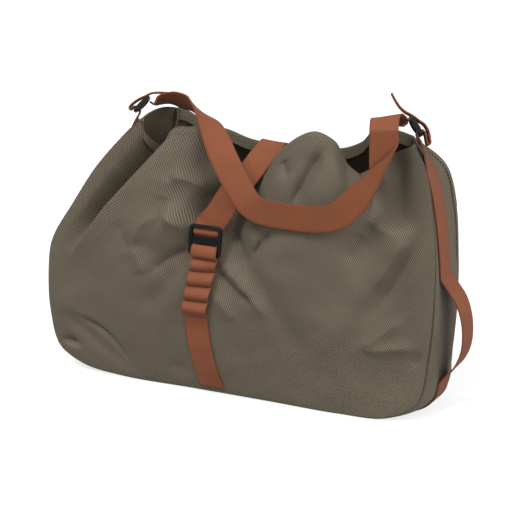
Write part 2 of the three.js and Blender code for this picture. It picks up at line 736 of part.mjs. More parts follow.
// Top strap: out of the buckle, over the mouth and the back hem, and down the back panel
const strapDown = shares(5).slice(1).map((share) => {
  const spot = landOn(backPoint, TOP_STRAP.at(-1).x + 3 * share, 298 - TOP_STRAP_BACK * share, -1);
  return spot.point.addScaledVector(spot.normal, LAY_GAP + WEB_THICK / 2 + 1.2);
});
const topMiddles = [
  ...TOP_STRAP_THREAD.map((place) => onBench(buckleBench, place)),
  ...TOP_STRAP.map((row) => vector(row.x, row.y, row.z)),
  ...strapDown,
];
const topSides = [
  ...TOP_STRAP_THREAD.map(() => buckleBench.across.clone()),
  ...TOP_STRAP.map((row) => vector(row.side_x, row.side_y, row.side_z)),
  ...strapDown.map(() => vector(-1, 0, 0.05)),
];
piece("top_strap", wall(strapRows(topMiddles, topSides, 52), WEB_THICK, WEB_THICK / 2), "webbing");

export default bag;
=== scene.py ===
"""Wader bag: cloth panels, webbing straps and moulded fittings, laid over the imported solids.

Lengths in the tables are millimetres in the part's own frame: X runs to the right along the front,
the front faces -Y, Z is up and the base rests on the floor at Z = 0.
"""

import math

import bpy
import numpy as np
from mathutils import Matrix, Vector, noise
from mathutils.bvhtree import BVHTree


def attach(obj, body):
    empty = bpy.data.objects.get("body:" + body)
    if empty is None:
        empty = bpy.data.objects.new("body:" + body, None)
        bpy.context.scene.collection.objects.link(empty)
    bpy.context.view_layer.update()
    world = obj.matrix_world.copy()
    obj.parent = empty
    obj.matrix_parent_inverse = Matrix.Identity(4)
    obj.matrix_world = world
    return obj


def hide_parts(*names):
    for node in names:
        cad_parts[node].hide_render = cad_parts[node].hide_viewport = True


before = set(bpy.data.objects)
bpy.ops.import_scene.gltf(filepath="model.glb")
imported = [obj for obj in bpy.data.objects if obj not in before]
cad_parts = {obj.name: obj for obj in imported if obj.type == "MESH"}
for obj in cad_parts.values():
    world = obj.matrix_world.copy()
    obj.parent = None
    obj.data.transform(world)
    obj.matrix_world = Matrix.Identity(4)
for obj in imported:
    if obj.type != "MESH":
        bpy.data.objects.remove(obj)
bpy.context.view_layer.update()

bl_info = {
    "name": "Wader Bag",
    "version": (1, 0, 0),
    "blender": (4, 5, 0),
    "location": "View3D > Sidebar > Wader Bag",
    "description": "Builds a soft wader bag with webbing straps over its packed solids",
    "category": "Add Mesh",
}

MM = 0.001
BODY = "root"


def table(names, rows):
    """A list of rows, each with these column names."""
    return [dict(zip(names, row)) for row in rows]


def column(rows, name):
    """One column of a table as an array."""
    return np.array([row[name] for row in rows], float)


def columns(rows, *names):
    """Several columns of a table, side by side."""
    return np.stack([column(rows, name) for name in names], axis=1)


# The gusset strip from the left hem, under the base, to the right hem: both seams, half width and bulge
GUSSET = table(
    ("front_x", "front_z", "back_x", "back_z", "half", "bulge"),
    (
        (-117, 342, -92, 346, 31, 0),
        (-141, 320, -102, 313, 34, 2),
        (-176, 281, -140, 266, 36, 3),
        (-211, 229, -192, 223, 37, 4),
        (-242, 178, -230, 178, 38, 5),
        (-250, 125, -242, 124, 39, 5),
        (-250, 74, -241, 72, 38, 5),
        (-240, 33, -232, 29, 38, 6),
        (-208, 11, -202, 8, 38, 7),
        (-150, 3, -150, 5, 41, 7),
        (-50, 2, -50, 5, 44, 6),
        (50, 1.5, 50, 5, 48, 6),
        (140, 1.5, 145, 5, 53, 6),
        (200, 5, 220, 6, 52, 8),
        (236, 27, 256, 17, 45, 8),
        (246, 85, 264, 68, 38, 2),
        (249, 145, 267, 135, 38, -3),
        (248, 205, 265, 195, 38, -7),
        (241, 265, 258, 255, 37, -9),
        (231, 309, 244, 300, 35, -8),
        (216, 336, 205, 331, 31, -1),
    ),
)

# The front panel's top edge by share of its width, with how far the cloth rolls over inwards there
FRONT_TOP = table(
    ("at", "x", "y", "z", "roll"),
    (
        (0.0, -117, -31, 342, 0),
        (0.05, -111, -28, 324, 0),
        (0.11, -105, -14, 303, 0),
        (0.17, -91, -14, 303, 0.2),
        (0.22, -75, -17, 316, 0.7),
        (0.27, -58, -17, 323, 1),
        (0.35, -40, -15, 324, 1),
        (0.41, -23, -13, 292, 0.7),
        (0.46, 0, -14, 243, 0.4),
        (0.51, 20, -17, 250, 0.4),
        (0.56, 37, -18, 280, 0.7),
        (0.62, 58, -20, 310, 1),
        (0.7, 94, -21, 333, 1),
        (0.77, 117, -21, 323, 1),
        (0.82, 134, -15, 296, 0.5),
        (0.87, 152, -11, 289, 0),
        (0.93, 182, -20, 314, 0),
        (1.0, 216, -31, 336, 0),
    ),
)

# The back panel's top edge
BACK_TOP = table(
    ("at", "x", "y", "z"),
    (
        (0.0, -92, 31, 346),
        (0.07, -76, 39, 339),
        (0.14, -58, 43, 324),
        (0.22, -30, 45, 320),
        (0.32, 0, 46, 309),
        (0.45, 45, 47, 303),
        (0.62, 105, 47, 304),
        (0.74, 138, 46, 315),
        (0.8, 153, 45, 332),
        (0.9, 182, 41, 334),
        (1.0, 205, 31, 331),
    ),
)

# Pleats of the front panel, low end to high end; the lobe side stands out, the margin side sinks in
PLEATS = table(
    ("low_x", "low_z", "high_x", "high_z", "lobe_side", "out", "sink", "lap"),
    (
        (-226, 152, -73, 322, 1, 14, 15, 11),
        (174, 238, 130, 326, -1, 12, 18, 10),
    ),
)

# Broad soft folds of the front panel: depth above zero is a valley, below zero a ridge
SOFT_FOLDS = table(
    ("low_x", "low_z", "high_x", "high_z", "depth", "width"),
    (
        (84, 96, 2, 214, 6, 17),
        (-88, 204, -30, 276, -6, 14),
        (-96, 122, -44, 200, 5, 14),
        (180, 150, 236, 288, 5, 16),
        (132, 100, 218, 256, -4, 16),
        (-133, 14, -217, 75, 4, 10),
        (77, 248, 107, 316, 4, 10),
        (206, 240, 198, 330, 15, 20),
        (-36, 232, 6, 284, 18, 28),
    ),
)

# Sharp creases of the front panel through three places each, valleys above zero and ridges below
CREASES = table(
    ("depth", "width", "x0", "z0", "x1", "z1", "x2", "z2"),
    (
        (-3.2, 9, -81, 236, -66, 228, -50, 219),
        (-2.6, 10, -81, 236, -111, 215, -120, 190),
        (-2.2, 9, -120, 190, -114, 172, -106, 155),
        (3.4, 7, -49, 192, -76, 178, -96, 159),
        (1.6, 9, -143, 221, -136, 200, -126, 181),
        (-2.8, 8, -76, 280, -51, 277, -26, 264),
        (-2.2, 9, -76, 280, -78, 266, -80, 250),
        (2.2, 5, -42, 251, -34, 252, -26, 251),
        (4.5, 8, -6, 216, 15, 197, 23, 174),
        (4.2, 8, -14, 172, 5, 153, 38, 132),
        (-4.0, 9, -8, 180, 19, 157, 54, 119),
        (3.4, 5, 54, 228, 43, 210, 30, 191),
        (-2.0, 9, -14, 141, -2, 127, 13, 110),
        (3.6, 7, 110, 321, 94, 293, 76, 255),
        (2.6, 8, 60, 306, 65, 298, 70, 288),
        (-3.4, 8, 162, 246, 206, 233, 230, 244),
        (3.0, 7, 229, 238, 207, 183, 184, 142),
        (-2.6, 8, 216, 236, 197, 200, 176, 164),
        (2.4, 9, 160, 231, 153, 214, 146, 197),
        (-2.2, 6, 237, 232, 226, 198, 213, 160),
        (-2.4, 10, 219, 139, 192, 114, 160, 89),
        (-2.6, 9, 236, 99, 211, 97, 170, 91),
        (3.6, 6, 238, 90, 234, 82, 229, 74),
        (3.0, 4, -211, 83, -166, 63, -129, 22),
        (2.4, 12, -82, 30, -68, 29, -52, 29),
        (6.0, 5, -238, 41, -224, 42, -209, 39),
        (-3.0, 6, -238, 30, -224, 32, -206, 30),
    ),
)

# The middle of the front webbing on the panel, from the base seam up to the chain of loops
FRONT_WEBBING = table(
    ("at", "x", "z"),
    (
        (0, -22, 12),
        (0.273, -32, 59),
        (0.576, -38, 112),
        (0.788, -33, 149),
        (1, -26, 185.5),
    ),
)
# Where along the front webbing its chain of loops begins, and how many loops it has
CHAIN_START = 0.576
CHAIN_LOOPS = 4

STRAP_COLUMNS = ("x", "y", "z", "side_x", "side_y", "side_z")

# The middle of the shoulder strap from the left slider to its fold and from the fold to the right slider,
# and the direction across it
SHOULDER_STRAP = table(
    STRAP_COLUMNS,
    (
        (-100, 8, 359, 0, -0.87, 0.45),
        (-80, 1, 361.5, -0.1, -0.68, 0.73),
        (-66, -7, 362.5, -0.02, -0.68, 0.72),
        (-53, -15, 360, 0.25, -0.78, 0.57),
        (-40, -23, 355, 0, -0.95, 0.3),
        (-25, -33, 341, -0.55, -0.83, 0),
        (-4, -46, 308, -0.88, -0.3, -0.25),
        (18, -56, 276, -0.85, -0.15, -0.5),
        (37, -61, 256, -0.55, 0, -0.85),
        (80, -61, 249, -0.1, 0.05, -1),
        (116, -61, 250, 0.15, 0.04, -0.98),
        (137, -61, 256.5, 0.45, 0.06, -0.88),
    ),
)
STRAP_RISE = table(
    STRAP_COLUMNS,
    (
        (181.5, -38, 363.5, -0.96, -0.25, -0.12),
        (182, -29, 366, -0.93, 0, -0.2),
        (185, -16, 363.5, -0.75, 0.52, -0.3),
        (191, -4.5, 357.5, -0.3, 0.9, -0.28),
    ),
)

# The strap's soft diagonal fold: the middle of its fold line, the way along the strap into it,
# the way to the strap's lower edge, the fold line's angle to the strap in degrees,
# the radius of the bend and how far the strap runs flat before and after the middle
STRAP_FOLD = {
    "middle": (178.6, -54.6, 296.5),
    "along": (0.72, 0.13, 0.68),
    "lower": (0.67, 0.1, -0.73),
    "angle": 24.5,
    "radius": 2.6,
    "reach": 42,
}

# The top strap past the buckle: over the mouth to the back hem
TOP_STRAP = table(
    STRAP_COLUMNS,
    (
        (-19, -46, 230, -0.96, 0.03, 0.28),
        (-10, -44, 242, -0.86, 0.1, 0.5),
        (-1, -39, 258, -0.86, 0.15, 0.48),
        (6, -26, 270, -0.9, 0.2, 0.4),
        (12, -11, 279, -0.92, 0.2, 0.33),
        (17, 3, 287, -0.94, 0.2, 0.28),
        (22, 19, 297, -0.95, 0.18, 0.22),
        (27, 37, 306, -0.97, 0.12, 0.14),
        (29, 47, 308.5, -1, 0.06, 0.08),
        (30, 54, 302, -1, 0.05, 0.05),
    ),
)
# How far the top strap is taken down the back
TOP_STRAP_BACK = 62

# The grab loop on the right end: height on the gusset and how far the webbing stands off it
GRAB_LOOP = table(
    ("at", "off"),
    (
        (42, 0),
        (54, 8),
        (66, 17),
        (84, 24),
        (104, 26),
        (127, 24),
        (147, 18),
        (163, 8),
        (176, 0),
    ),
)
# The heights on the right end between which the carry webbing is sewn down along both edges
CARRY_SEWN = ((8, 40), (178, 318))

# The shares of the gusset's length between which the carry webbing lies along it
CARRY_FROM = 0.055
CARRY_TO = 0.966

# The fittings: middle, direction across the strap and direction down the strap
FITTINGS = {
    "slider_left": {"middle": (-126, 0, 354), "across": (-0.37, 0.89, -0.25), "down": (-0.61, -0.45, -0.65)},
    "slider_right": {"middle": (209.5, 0, 350.5), "across": (0.21, -0.94, 0.27), "down": (0.6, -0.11, -0.79)},
    "ladder_buckle": {"middle": (-26, -54.8, 206.5), "across": (-1, 0, 0.04), "down": (0, -0.12, -1)},
}

# Webbing round the fittings, as distance down from the fitting's middle and height over its face
SLIDER_IN = {
    "slider_left": ((17, -7.5), (9.5, -5.4), (6, -2.8), (5.2, 0.6), (9.5, 4.6)),
    "slider_right": ((21, -5.5), (12, -4.4), (7.2, -2.6), (5.2, 0.6), (9.5, 4.6)),
}
SLIDER_OUT = ((-3, 6.5), (-11, 3.6))
SLACK_LOOPS = {
    "slider_left": ((13.5, 4.6), (15, 6.2), (13, 7.8), (6, 8.2)),
    "slider_right": ((16, 3.2), (22, 0.8), (25.2, 0.7), (25, 3), (19.8, 6), (11.2, 9), (3, 9)),
}
TAILS = {
    "slider_left": ((-16, 2.6), (-21, -0.5), (-26, -5), (-31, -10), (-35.5, -14.5)),
    "slider_right": ((-15.5, 1.4), (-20, -1), (-27, -3), (-36, -3.4), (-46, -2.6)),
}
TAIL_SIDES = {"slider_left": (-0.6, 0.76, -0.2), "slider_right": (-0.19, 0.95, -0.25)}
STRAP_ENDS = {
    "slider_left": ((-9.2, -4.4), (-11.5, -10.5)),
    "slider_right": ((-8, -5.6), (-9.5, -12)),
}
TOP_STRAP_THREAD = ((3, -4.6), (-0.5, -4.6), (-4.5, -3.6), (-9.5, -0.6), (-14, -2.4), (-18, -5))
FRONT_WEBBING_THREAD = ((20.8, 1.4), (17.5, 4), (11, 3.6), (6.4, 0.2), (8.5, -3.9), (16, -4.6))

# Each fitting's width, length and thickness, half the width of its slots and the thickness of its rails,
# then its bars from the top down, each with its place and its width
SLIDER_BARS = ((-11, 4), (0, 4), (11, 4))
BUCKLE_BARS = ((-17.5, 4), (-0.5, 8), (17.5, 4))
SLIDER_MOULD = {"size": (44, 26, 3), "slot": 17.6, "rail": 6.0, "bars": SLIDER_BARS}
MOULDS = {
    "slider_left": SLIDER_MOULD,
    "slider_right": SLIDER_MOULD,
    "ladder_buckle": {"size": (40, 39, 3.4), "slot": 16.7, "rail": 6.4, "bars": BUCKLE_BARS},
}
# A bar wider than this has a groove along it
WIDE_BAR = 6

# The shape of a pleat across its line: how far the lobe fades out and how sharp its edge is,
# then the middle and the width of the sunk margin, of the tuck and of the cloth that laps over it
PLEAT_FADE = 40
PLEAT_EDGE = 1.2
PLEAT_MARGIN = (-12, 11)
PLEAT_TUCK = (-9, 8)
PLEAT_LAP = (4, 9)

# How soon folds and wrinkles come in from the side seams and from the base seam
HOLD_SIDE = 14
HOLD_BASE = 6

# The powers that shape the swell of a panel across and up
SWELL_ACROSS = 0.6
SWELL_UP = 0.8

# The size and the seed of each sheet's wrinkles
WRINKLES = {"front": (55, 3.7), "back": (70, 9.1), "gusset": (32, 5.2)}

# The height of the gusset's wrinkles, the height over the floor where they begin, and how soon they come in
GUSSET_WRINKLE = 1.6
WRINKLES_FROM = 12
WRINKLES_RISE = 25

# How far the strip's left hem rises between the seams, and over what share of the strip
HEM_CROWN = 7
HEM_CROWN_SHARE = 0.034

# The least radius of a turned hem, and how much deeper a rolled lobe is turned in
HEM_RADIUS = 1.4
LOBE_TURN = 12

# How far out from the gusset's middle it is kept clear of the floor, as a share of its half width,
# then the gaps that are left under webbing: the base's, the carry, the front and the top strap's
UNDER_WEBBING = 0.5
FLOOR_GAP = 0.4
CARRY_GAP = 0.5
FRONT_GAP = 0.6
BACK_GAP = 1.4

# Where the carry webbing's edges lie across the gusset, as a share of its half width,
# and the X past which it lies on the right end
WEBBING_EDGE = 0.42
RIGHT_END = 200

# The shoulder strap can meet the front below this height and in front of this Y. It is lifted clear
# of the cloth there, and the lift is spread over some rows and evened out a number of times
MEETS_BELOW = 318
MEETS_BEFORE = -25
STRAP_CLEAR = 2
LIFT_SPREAD = 6
LIFT_EVEN = 12

# The Y that stands for bare air where no cloth is met, for the shoulder strap and for the front webbing
AIR_AT_STRAP = 90
AIR_AT_WEBBING = -45

# The height where the top strap starts down the back, and how far it drifts to the right on the way
BACK_START = 298
BACK_DRIFT = 3

# Cells of each panel across, up and over its hem, cells across webbing, and rows along each stretch of it
FRONT_CELLS = (250, 145, 14)
BACK_CELLS = (150, 90, 10)
STRAP_CELLS = 8
CARRY_CELLS = 6
ROWS = {
    "carry": 420,
    "left_end": 110,
    "right_end": 120,
    "drape": 250,
    "fold": 24,
    "rise": 70,
    "front": 180,
    "turn": 50,
    "top": 260,
}

# The share of a fitting's length that its corners are rounded by, the share of a wide bar that its
# groove takes up, and half the thickness that a rail keeps at its ends
CORNER_SHARE = 0.12
GROOVE_SHARE = 0.22
RAIL_END = 0.9

# Pitch of the cloth's staggered weave along both ways, as it shows in the picture
WEAVE_WIDE = 2.75
WEAVE_HIGH = 3.9
# Rib pitch of the webbing, drawn a little coarser than the yarn so that it shows in the picture
RIB_PITCH = 2.1
RIB_WIDE = 2.5
# The part of a noise's range that is used
NOISE_SPAN = (0.3, 0.7)

# The studio: side of the floor, its glow for the camera, the light all round and the soft lamps
FLOOR_SIZE = 14
FLOOR_GLOW = 0.72
ROOM_LIGHT = 0.42
LAMPS = table(
    ("name", "spot", "spread", "power"),
    (
        ("key", (-0.42, -0.62, 1.15), 24, 2.35),
        ("top", (0.3, -0.4, 1.0), 60, 0.6),
        ("fill", (1.0, -0.3, 0.45), 60, 1.9),
        ("front", (0.3, -0.9, 0.45), 30, 0.35),
    ),
)


def srgb(code):
    """An sRGB hex colour as linear red, green and blue."""
    shares = [int(code[k : k + 2], 16) / 255 for k in (1, 3, 5)]
    return tuple(s / 12.92 if s <= 0.04045 else ((s + 0.055) / 1.055) ** 2.4 for s in shares)


def length_setting(name, description, default):
    """A length in metres."""
    return bpy.props.FloatProperty(name=name, description=description, default=default, unit="LENGTH")


def angle_setting(name, description, degrees):
    """An angle, given in degrees."""
    default = math.radians(degrees)
    return bpy.props.FloatProperty(name=name, description=description, default=default, subtype="ANGLE")


def colour_setting(name, description, code):
    """A colour, given as its sRGB hex code."""
    default = srgb(code)
    return bpy.props.FloatVectorProperty(name=name, description=description, default=default, subtype="COLOR")


class BagSizes(bpy.types.PropertyGroup):
    """Sizes of the cloth, the webbing and the stitches"""

    cloth_thickness: length_setting("Cloth thickness", "Thickness of the coated nylon", 0.0016)
    webbing_width: length_setting("Webbing width", "Width of every strap", 0.032)
    webbing_thickness: length_setting("Webbing thickness", "Thickness of every strap", 0.0018)
    front_bulge: length_setting("Front bulge", "How far the front swells past its seams", 0.027)
    back_bulge: length_setting("Back bulge", "How far the back swells past its seams", 0.040)
    lobe_roll: length_setting("Lobe roll", "Radius of the soft roll along the lobes", 0.008)
    hem_depth: length_setting("Hem depth", "Depth of the turned hem at the mouth", 0.013)
    seam_allowance: length_setting("Seam allowance", "Cloth turned in along the seams", 0.006)
    seam_groove: length_setting("Seam groove", "How far the cloth dips at its seams", 0.003)
    wrinkle: length_setting("Wrinkle", "Height of the small uneven wrinkles", 0.0022)
    crease_share: bpy.props.FloatProperty(
        name="Crease share", description="How strongly the creases are pressed in", default=2.2
    )
    chain_height: length_setting("Chain height", "Height of the loops on the front webbing", 0.0075)
    stitch_length: length_setting("Stitch length", "One stitch that shows", 0.003)
    stitch_pitch: length_setting("Stitch pitch", "From one stitch to the next", 0.0045)
    stitch_inset: length_setting("Stitch inset", "From the webbing's edge to its stitches", 0.003)
    stitch_thickness: length_setting("Stitch thickness", "Thickness of the thread", 0.0009)


class BagColours(bpy.types.PropertyGroup):
    """Colours of the cloth, the webbing, the fittings, the thread and the floor"""

    cloth_light: colour_setting("Cloth, light yarn", "Raised yarn of the weave", "#716653")
    # The sunk yarn's darker colour is painted shade in the hollows of the weave, not a second yarn colour
    cloth_sunk_shade: colour_setting("Cloth, dark yarn", "Sunk yarn of the weave", "#383127")
    webbing: colour_setting("Webbing", "Burnt orange yarn", "#8E5234")
    webbing_deep: colour_setting("Webbing, between ribs", "Shade between ribs", "#552B19")
    fitting: colour_setting("Fittings", "Moulded nylon", "#0D0D0E")
    thread_rust: colour_setting("Rust thread", "Thread on the webbing", "#9C5636")
    floor: colour_setting("Floor", "Pale studio floor", "#9C9C9C")


class BagView(bpy.types.PropertyGroup):
    """Where the studio camera stands"""

    azimuth: angle_setting("Azimuth", "Camera angle round the bag", 18)
    elevation: angle_setting("Elevation", "Camera angle above the floor", 20)
    distance: length_setting("Distance", "From the aim to the camera", 1.39)
    aim: bpy.props.FloatVectorProperty(
        name="Aim", description="Where the camera looks", default=(0, 0.062, 0.150), subtype="TRANSLATION"
    )
    lens: bpy.props.FloatProperty(name="Lens", description="Focal length in millimetres", default=75)


def sizes():
    """The sizes in use."""
    return bpy.context.scene.bag_sizes


def mm(name):
    """One of the sizes in use, in millimetres."""
    return getattr(sizes(), name) / MM


def colours():
    """The colours in use."""
    return bpy.context.scene.bag_colours


def smooth(value):
    """A soft step from 0 to 1."""
    value = np.clip(value, 0, 1)
    return value**2 * (3 - 2 * value)


def bump(off, place):
    """A soft bump of height 1 with its middle and its width."""
    middle, wide = place
    return np.exp(-(((off - middle) / wide) ** 2))


def unit(vectors):
    """Vectors of length 1."""
    return vectors / np.maximum(np.linalg.norm(vectors, axis=-1, keepdims=True), 1e-9)


def length_run(points):
    """The length run along a line of points."""
    return np.concatenate([[0], np.cumsum(np.linalg.norm(np.diff(points, axis=0), axis=1))])


def flat_lie(across, run):
    """The flat lie of a strip: places across it and along it."""
    return np.stack(np.broadcast_arrays(across[None, :], run[:, None]), axis=2)


class Curve:
    """A smooth curve through points, read by share of its points or by share of its length."""

    def __init__(self, points, pull=0.5):
        self.points = np.array(points, float)
        self.pull = pull
        self.steps = np.linspace(0, 1, 40 * len(self.points))
        self.run = length_run(self.at(self.steps))

    def at(self, share):
        """Points at shares of the way through the list of points."""
        points = self.points
        ends = np.vstack([2 * points[0] - points[1], points, 2 * points[-1] - points[-2]])
        place = np.clip(np.atleast_1d(share), 0, 1) * (len(points) - 1)
        k = np.minimum(place.astype(int), len(points) - 2)
        t = (place - k)[:, None]
        a, b, c, d = (ends[k + step] for step in range(4))
        ab, bc, cd = (
            np.maximum(np.linalg.norm(q - p, axis=1, keepdims=True), 1e-6) ** self.pull
            for p, q in ((a, b), (b, c), (c, d))
        )
        start = bc * ((b - a) / ab - (c - a) / (ab + bc) + (c - b) / bc)
        end = bc * ((c - b) / bc - (d - b) / (bc + cd) + (d - c) / cd)
        rise = 3 * t**2 - 2 * t**3
        return (1 - rise) * b + rise * c + (t**3 - 2 * t**2 + t) * start + (t**3 - t**2) * end

    def along(self, share):
        """Points at shares of the curve's length."""
        return self.at(self.by_length(share))

    def by_length(self, share):
        """The share of the points that lies at a share of the length."""
        return np.interp(np.atleast_1d(share) * self.run[-1], self.run, self.steps)


def read(rows, place, name):
    """One column of a table at places along it, on a smooth curve through its rows."""
    at = column(rows, "at")
    value = column(rows, name)
    order = np.arange(len(at))
    before = np.maximum(order - 1, 0)
    after = np.minimum(order + 1, len(at) - 1)
    slope = (value[after] - value[before]) / (at[after] - at[before])
    k = np.clip(np.searchsorted(at, place) - 1, 0, len(at) - 2)
    span = at[k + 1] - at[k]
    t = np.clip((place - at[k]) / span, 0, 1)
    rise = 3 * t**2 - 2 * t**3
    lean = (t**3 - 2 * t**2 + t) * slope[k] + (t**3 - t**2) * slope[k + 1]
    return (1 - rise) * value[k] + rise * value[k + 1] + lean * span


def seam_points(x, half, z):
    """The points of a seam from three columns of the gusset table."""
    return np.stack([column(GUSSET, x), half, column(GUSSET, z)], axis=1)


FRONT_SEAM = Curve(seam_points("front_x", -column(GUSSET, "half"), "front_z"))
BACK_SEAM = Curve(seam_points("back_x", column(GUSSET, "half"), "back_z"))
GUSSET_BULGE = Curve(seam_points("front_x", column(GUSSET, "bulge"), "front_z"))


def place_on(curve, x, z):
    """The share of a seam's length that lies nearest a place in front view."""
    shares = np.linspace(0, 1, 1201)
    points = curve.along(shares)
    return shares[np.argmin(np.hypot(points[:, 0] - x, points[:, 2] - z))]


FRONT_CORNERS = (place_on(FRONT_SEAM, -236, 26), place_on(FRONT_SEAM, 232, 24))
BACK_CORNERS = (place_on(BACK_SEAM, -228, 24), place_on(BACK_SEAM, 247, 14))


def gusset_out(share):
    """The way out of the bag, in the XZ plane, at shares of the gusset's length."""
    step = 1e-3
    along = unit(FRONT_SEAM.along(share + step) - FRONT_SEAM.along(share - step))
    along = along + unit(BACK_SEAM.along(share + step) - BACK_SEAM.along(share - step))
    return unit(np.stack([along[:, 2], 0 * along[:, 0], -along[:, 0]], axis=1))


def gusset_point(share, across):
    """Points of the gusset's outer face; across runs from -1 at the front seam to 1 at the back seam."""
    share = np.broadcast_to(np.atleast_1d(share), np.atleast_1d(across).shape)
    lean = ((across + 1) / 2)[:, None]
    point = FRONT_SEAM.along(share) * (1 - lean) + BACK_SEAM.along(share) * lean
    bulge = GUSSET_BULGE.along(share)[:, 1] * (1 - across**4)
    point += gusset_out(share) * bulge[:, None]
    point[:, 2] += HEM_CROWN * (1 - across**2) * smooth(1 - share / HEM_CROWN_SHARE)
    floor = np.where(np.abs(across) < UNDER_WEBBING, mm("webbing_thickness") + FLOOR_GAP, 0)
    point[:, 2] = np.maximum(point[:, 2], floor)
    return point


def patch(curve, corners, top, u, w):
    """A four-sided patch between a bottom seam, two side seams and a top edge."""
    low_share, high_share = corners
    u_, w_ = u[:, None], w[:, None]
    left = curve.along(low_share * (1 - w))
    right = curve.along(high_share + (1 - high_share) * w)
    low = curve.along(low_share + (high_share - low_share) * u)
    high = np.stack([read(top, u, axis) for axis in "xyz"], axis=1)
    ends = curve.along(np.array([low_share, high_share, 0, 1]))
    point = left * (1 - u_) + right * u_ + low * (1 - w_) + high * w_
    point -= ends[0] * (1 - u_) * (1 - w_) + ends[1] * u_ * (1 - w_)
    return point - ends[2] * (1 - u_) * w_ - ends[3] * u_ * w_


def swollen(curve, corners, top, bulge, u, rise):
    """A panel's patch filled out along y by the bag's load."""
    point = patch(curve, corners, top, u, rise)
    swell = np.clip(4 * u * (1 - u), 0, 1) ** SWELL_ACROSS
    point[:, 1] += bulge * (swell * np.clip(np.sin(np.pi * rise), 0, 1) ** SWELL_UP)
    return point


def beside(row, x, z):
    """Where places in front view lie along a fold, how far beside it, and the way out from it."""
    run_x, run_z = row["high_x"] - row["low_x"], row["high_z"] - row["low_z"]
    length = math.hypot(run_x, run_z)
    run_x, run_z = run_x / length, run_z / length
    along = ((x - row["low_x"]) * run_x + (z - row["low_z"]) * run_z) / length
    off = (x - row["low_x"]) * run_z - (z - row["low_z"]) * run_x
    return along, off, run_z, -run_x


def crease_gap(row, x, z):
    """How far places in front view lie from a crease, and how far along it, from 0 to 1."""
    path = Curve([(row["x0"], row["z0"]), (row["x1"], row["z1"]), (row["x2"], row["z2"])])
    steps = np.linspace(0, 1, 25)
    dots = path.along(steps)
    gaps = np.hypot(x[:, None] - dots[:, 0], z[:, None] - dots[:, 1])
    return gaps.min(axis=1), steps[gaps.argmin(axis=1)]


def fold(point, hold):
    """Push front points by the pleats, folds and creases; hold is 0 at the seams and 1 inside the panel."""
    x, z = point[:, 0].copy(), point[:, 2].copy()
    for row in PLEATS:
        along, off, out_x, out_z = beside(row, x, z)
        off = off * row["lobe_side"]
        strength = smooth(along * 2) * hold
        edge = 1 + np.exp(-np.clip(off / PLEAT_EDGE, -40, 40))
        lobe = np.exp(-np.maximum(off, 0) / PLEAT_FADE) / edge
        point[:, 1] += strength * (row["sink"] * bump(off, PLEAT_MARGIN) - row["out"] * lobe)
        shift = bump(off, PLEAT_TUCK) - bump(off, PLEAT_LAP)
        point[:, 0] += strength * row["lap"] * shift * row["lobe_side"] * out_x
        point[:, 2] += strength * row["lap"] * shift * row["lobe_side"] * out_z
    for row in SOFT_FOLDS:
        along, off, _, _ = beside(row, x, z)
        ends = smooth((along + 0.25) * 3) * smooth((1.25 - along) * 3)
        point[:, 1] += row["depth"] * ends * hold * bump(off, (0, row["width"]))
    for row in CREASES:
        gap, along = crease_gap(row, x, z)
        ends = 0.25 + 0.75 * smooth(np.minimum(along, 1 - along) * 4)
        depth = sizes().crease_share * row["depth"]
        point[:, 1] += depth * ends * hold * np.exp(-((gap / row["width"]) ** 1.25))


def wrinkles(point, sheet):
    """Small uneven heights of slack cloth, about -1 to 1."""
    scale, seed = WRINKLES[sheet]
    spots = point / scale + seed
    return np.array([noise.noise(Vector(spot)) + 0.5 * noise.noise(Vector(2.3 * spot)) for spot in spots])


def seam_hold(u, rise):
    """How freely a panel's cloth folds: 0 at its seams and 1 inside."""
    return smooth(u * HOLD_SIDE) * smooth((1 - u) * HOLD_SIDE) * smooth(rise * HOLD_BASE)


def turn_over(point, w, radius, depth, inward):
    """Roll the part of a panel past its top edge over inwards, then down inside by depth."""
    past = np.clip(w - 1, 0, 1)
    turn = np.pi * np.minimum(past * 2, 1)
    down = np.clip(past * 2 - 1, 0, 1)
    point[:, 1] += inward * (radius * (1 - np.cos(turn)) + 0.6 * down)
    point[:, 2] += radius * np.sin(turn) - depth * down
    return point


def front_point(u, w):
    """Points of the front panel's outer face, u across from the left and w up from the base seam."""
    rise = np.minimum(w, 1)
    point = swollen(FRONT_SEAM, FRONT_CORNERS, FRONT_TOP, -mm("front_bulge"), u, rise)
    hold = seam_hold(u, rise)
    fold(point, hold)
    point[:, 1] += mm("wrinkle") * hold * wrinkles(point, "front")
    roll = read(FRONT_TOP, u, "roll")
    radius = np.maximum(mm("lobe_roll") * roll, HEM_RADIUS)
    return turn_over(point, w, radius, mm("hem_depth") + LOBE_TURN * roll, 1)


def back_point(u, w):
    """Points of the back panel's outer face, u across from the left and w up from the base seam."""
    rise = np.minimum(w, 1)
    point = swollen(BACK_SEAM, BACK_CORNERS, BACK_TOP, mm("back_bulge"), u, rise)
    point[:, 1] += 2 * mm("wrinkle") * seam_hold(u, rise) * wrinkles(point, "back")
    return turn_over(point, w, np.full_like(u, HEM_RADIUS), mm("hem_depth"), -1)


def bare_selection():
    """Deselect everything, so that an operator acts only on what is added next."""
    bpy.ops.object.select_all(action="DESELECT")


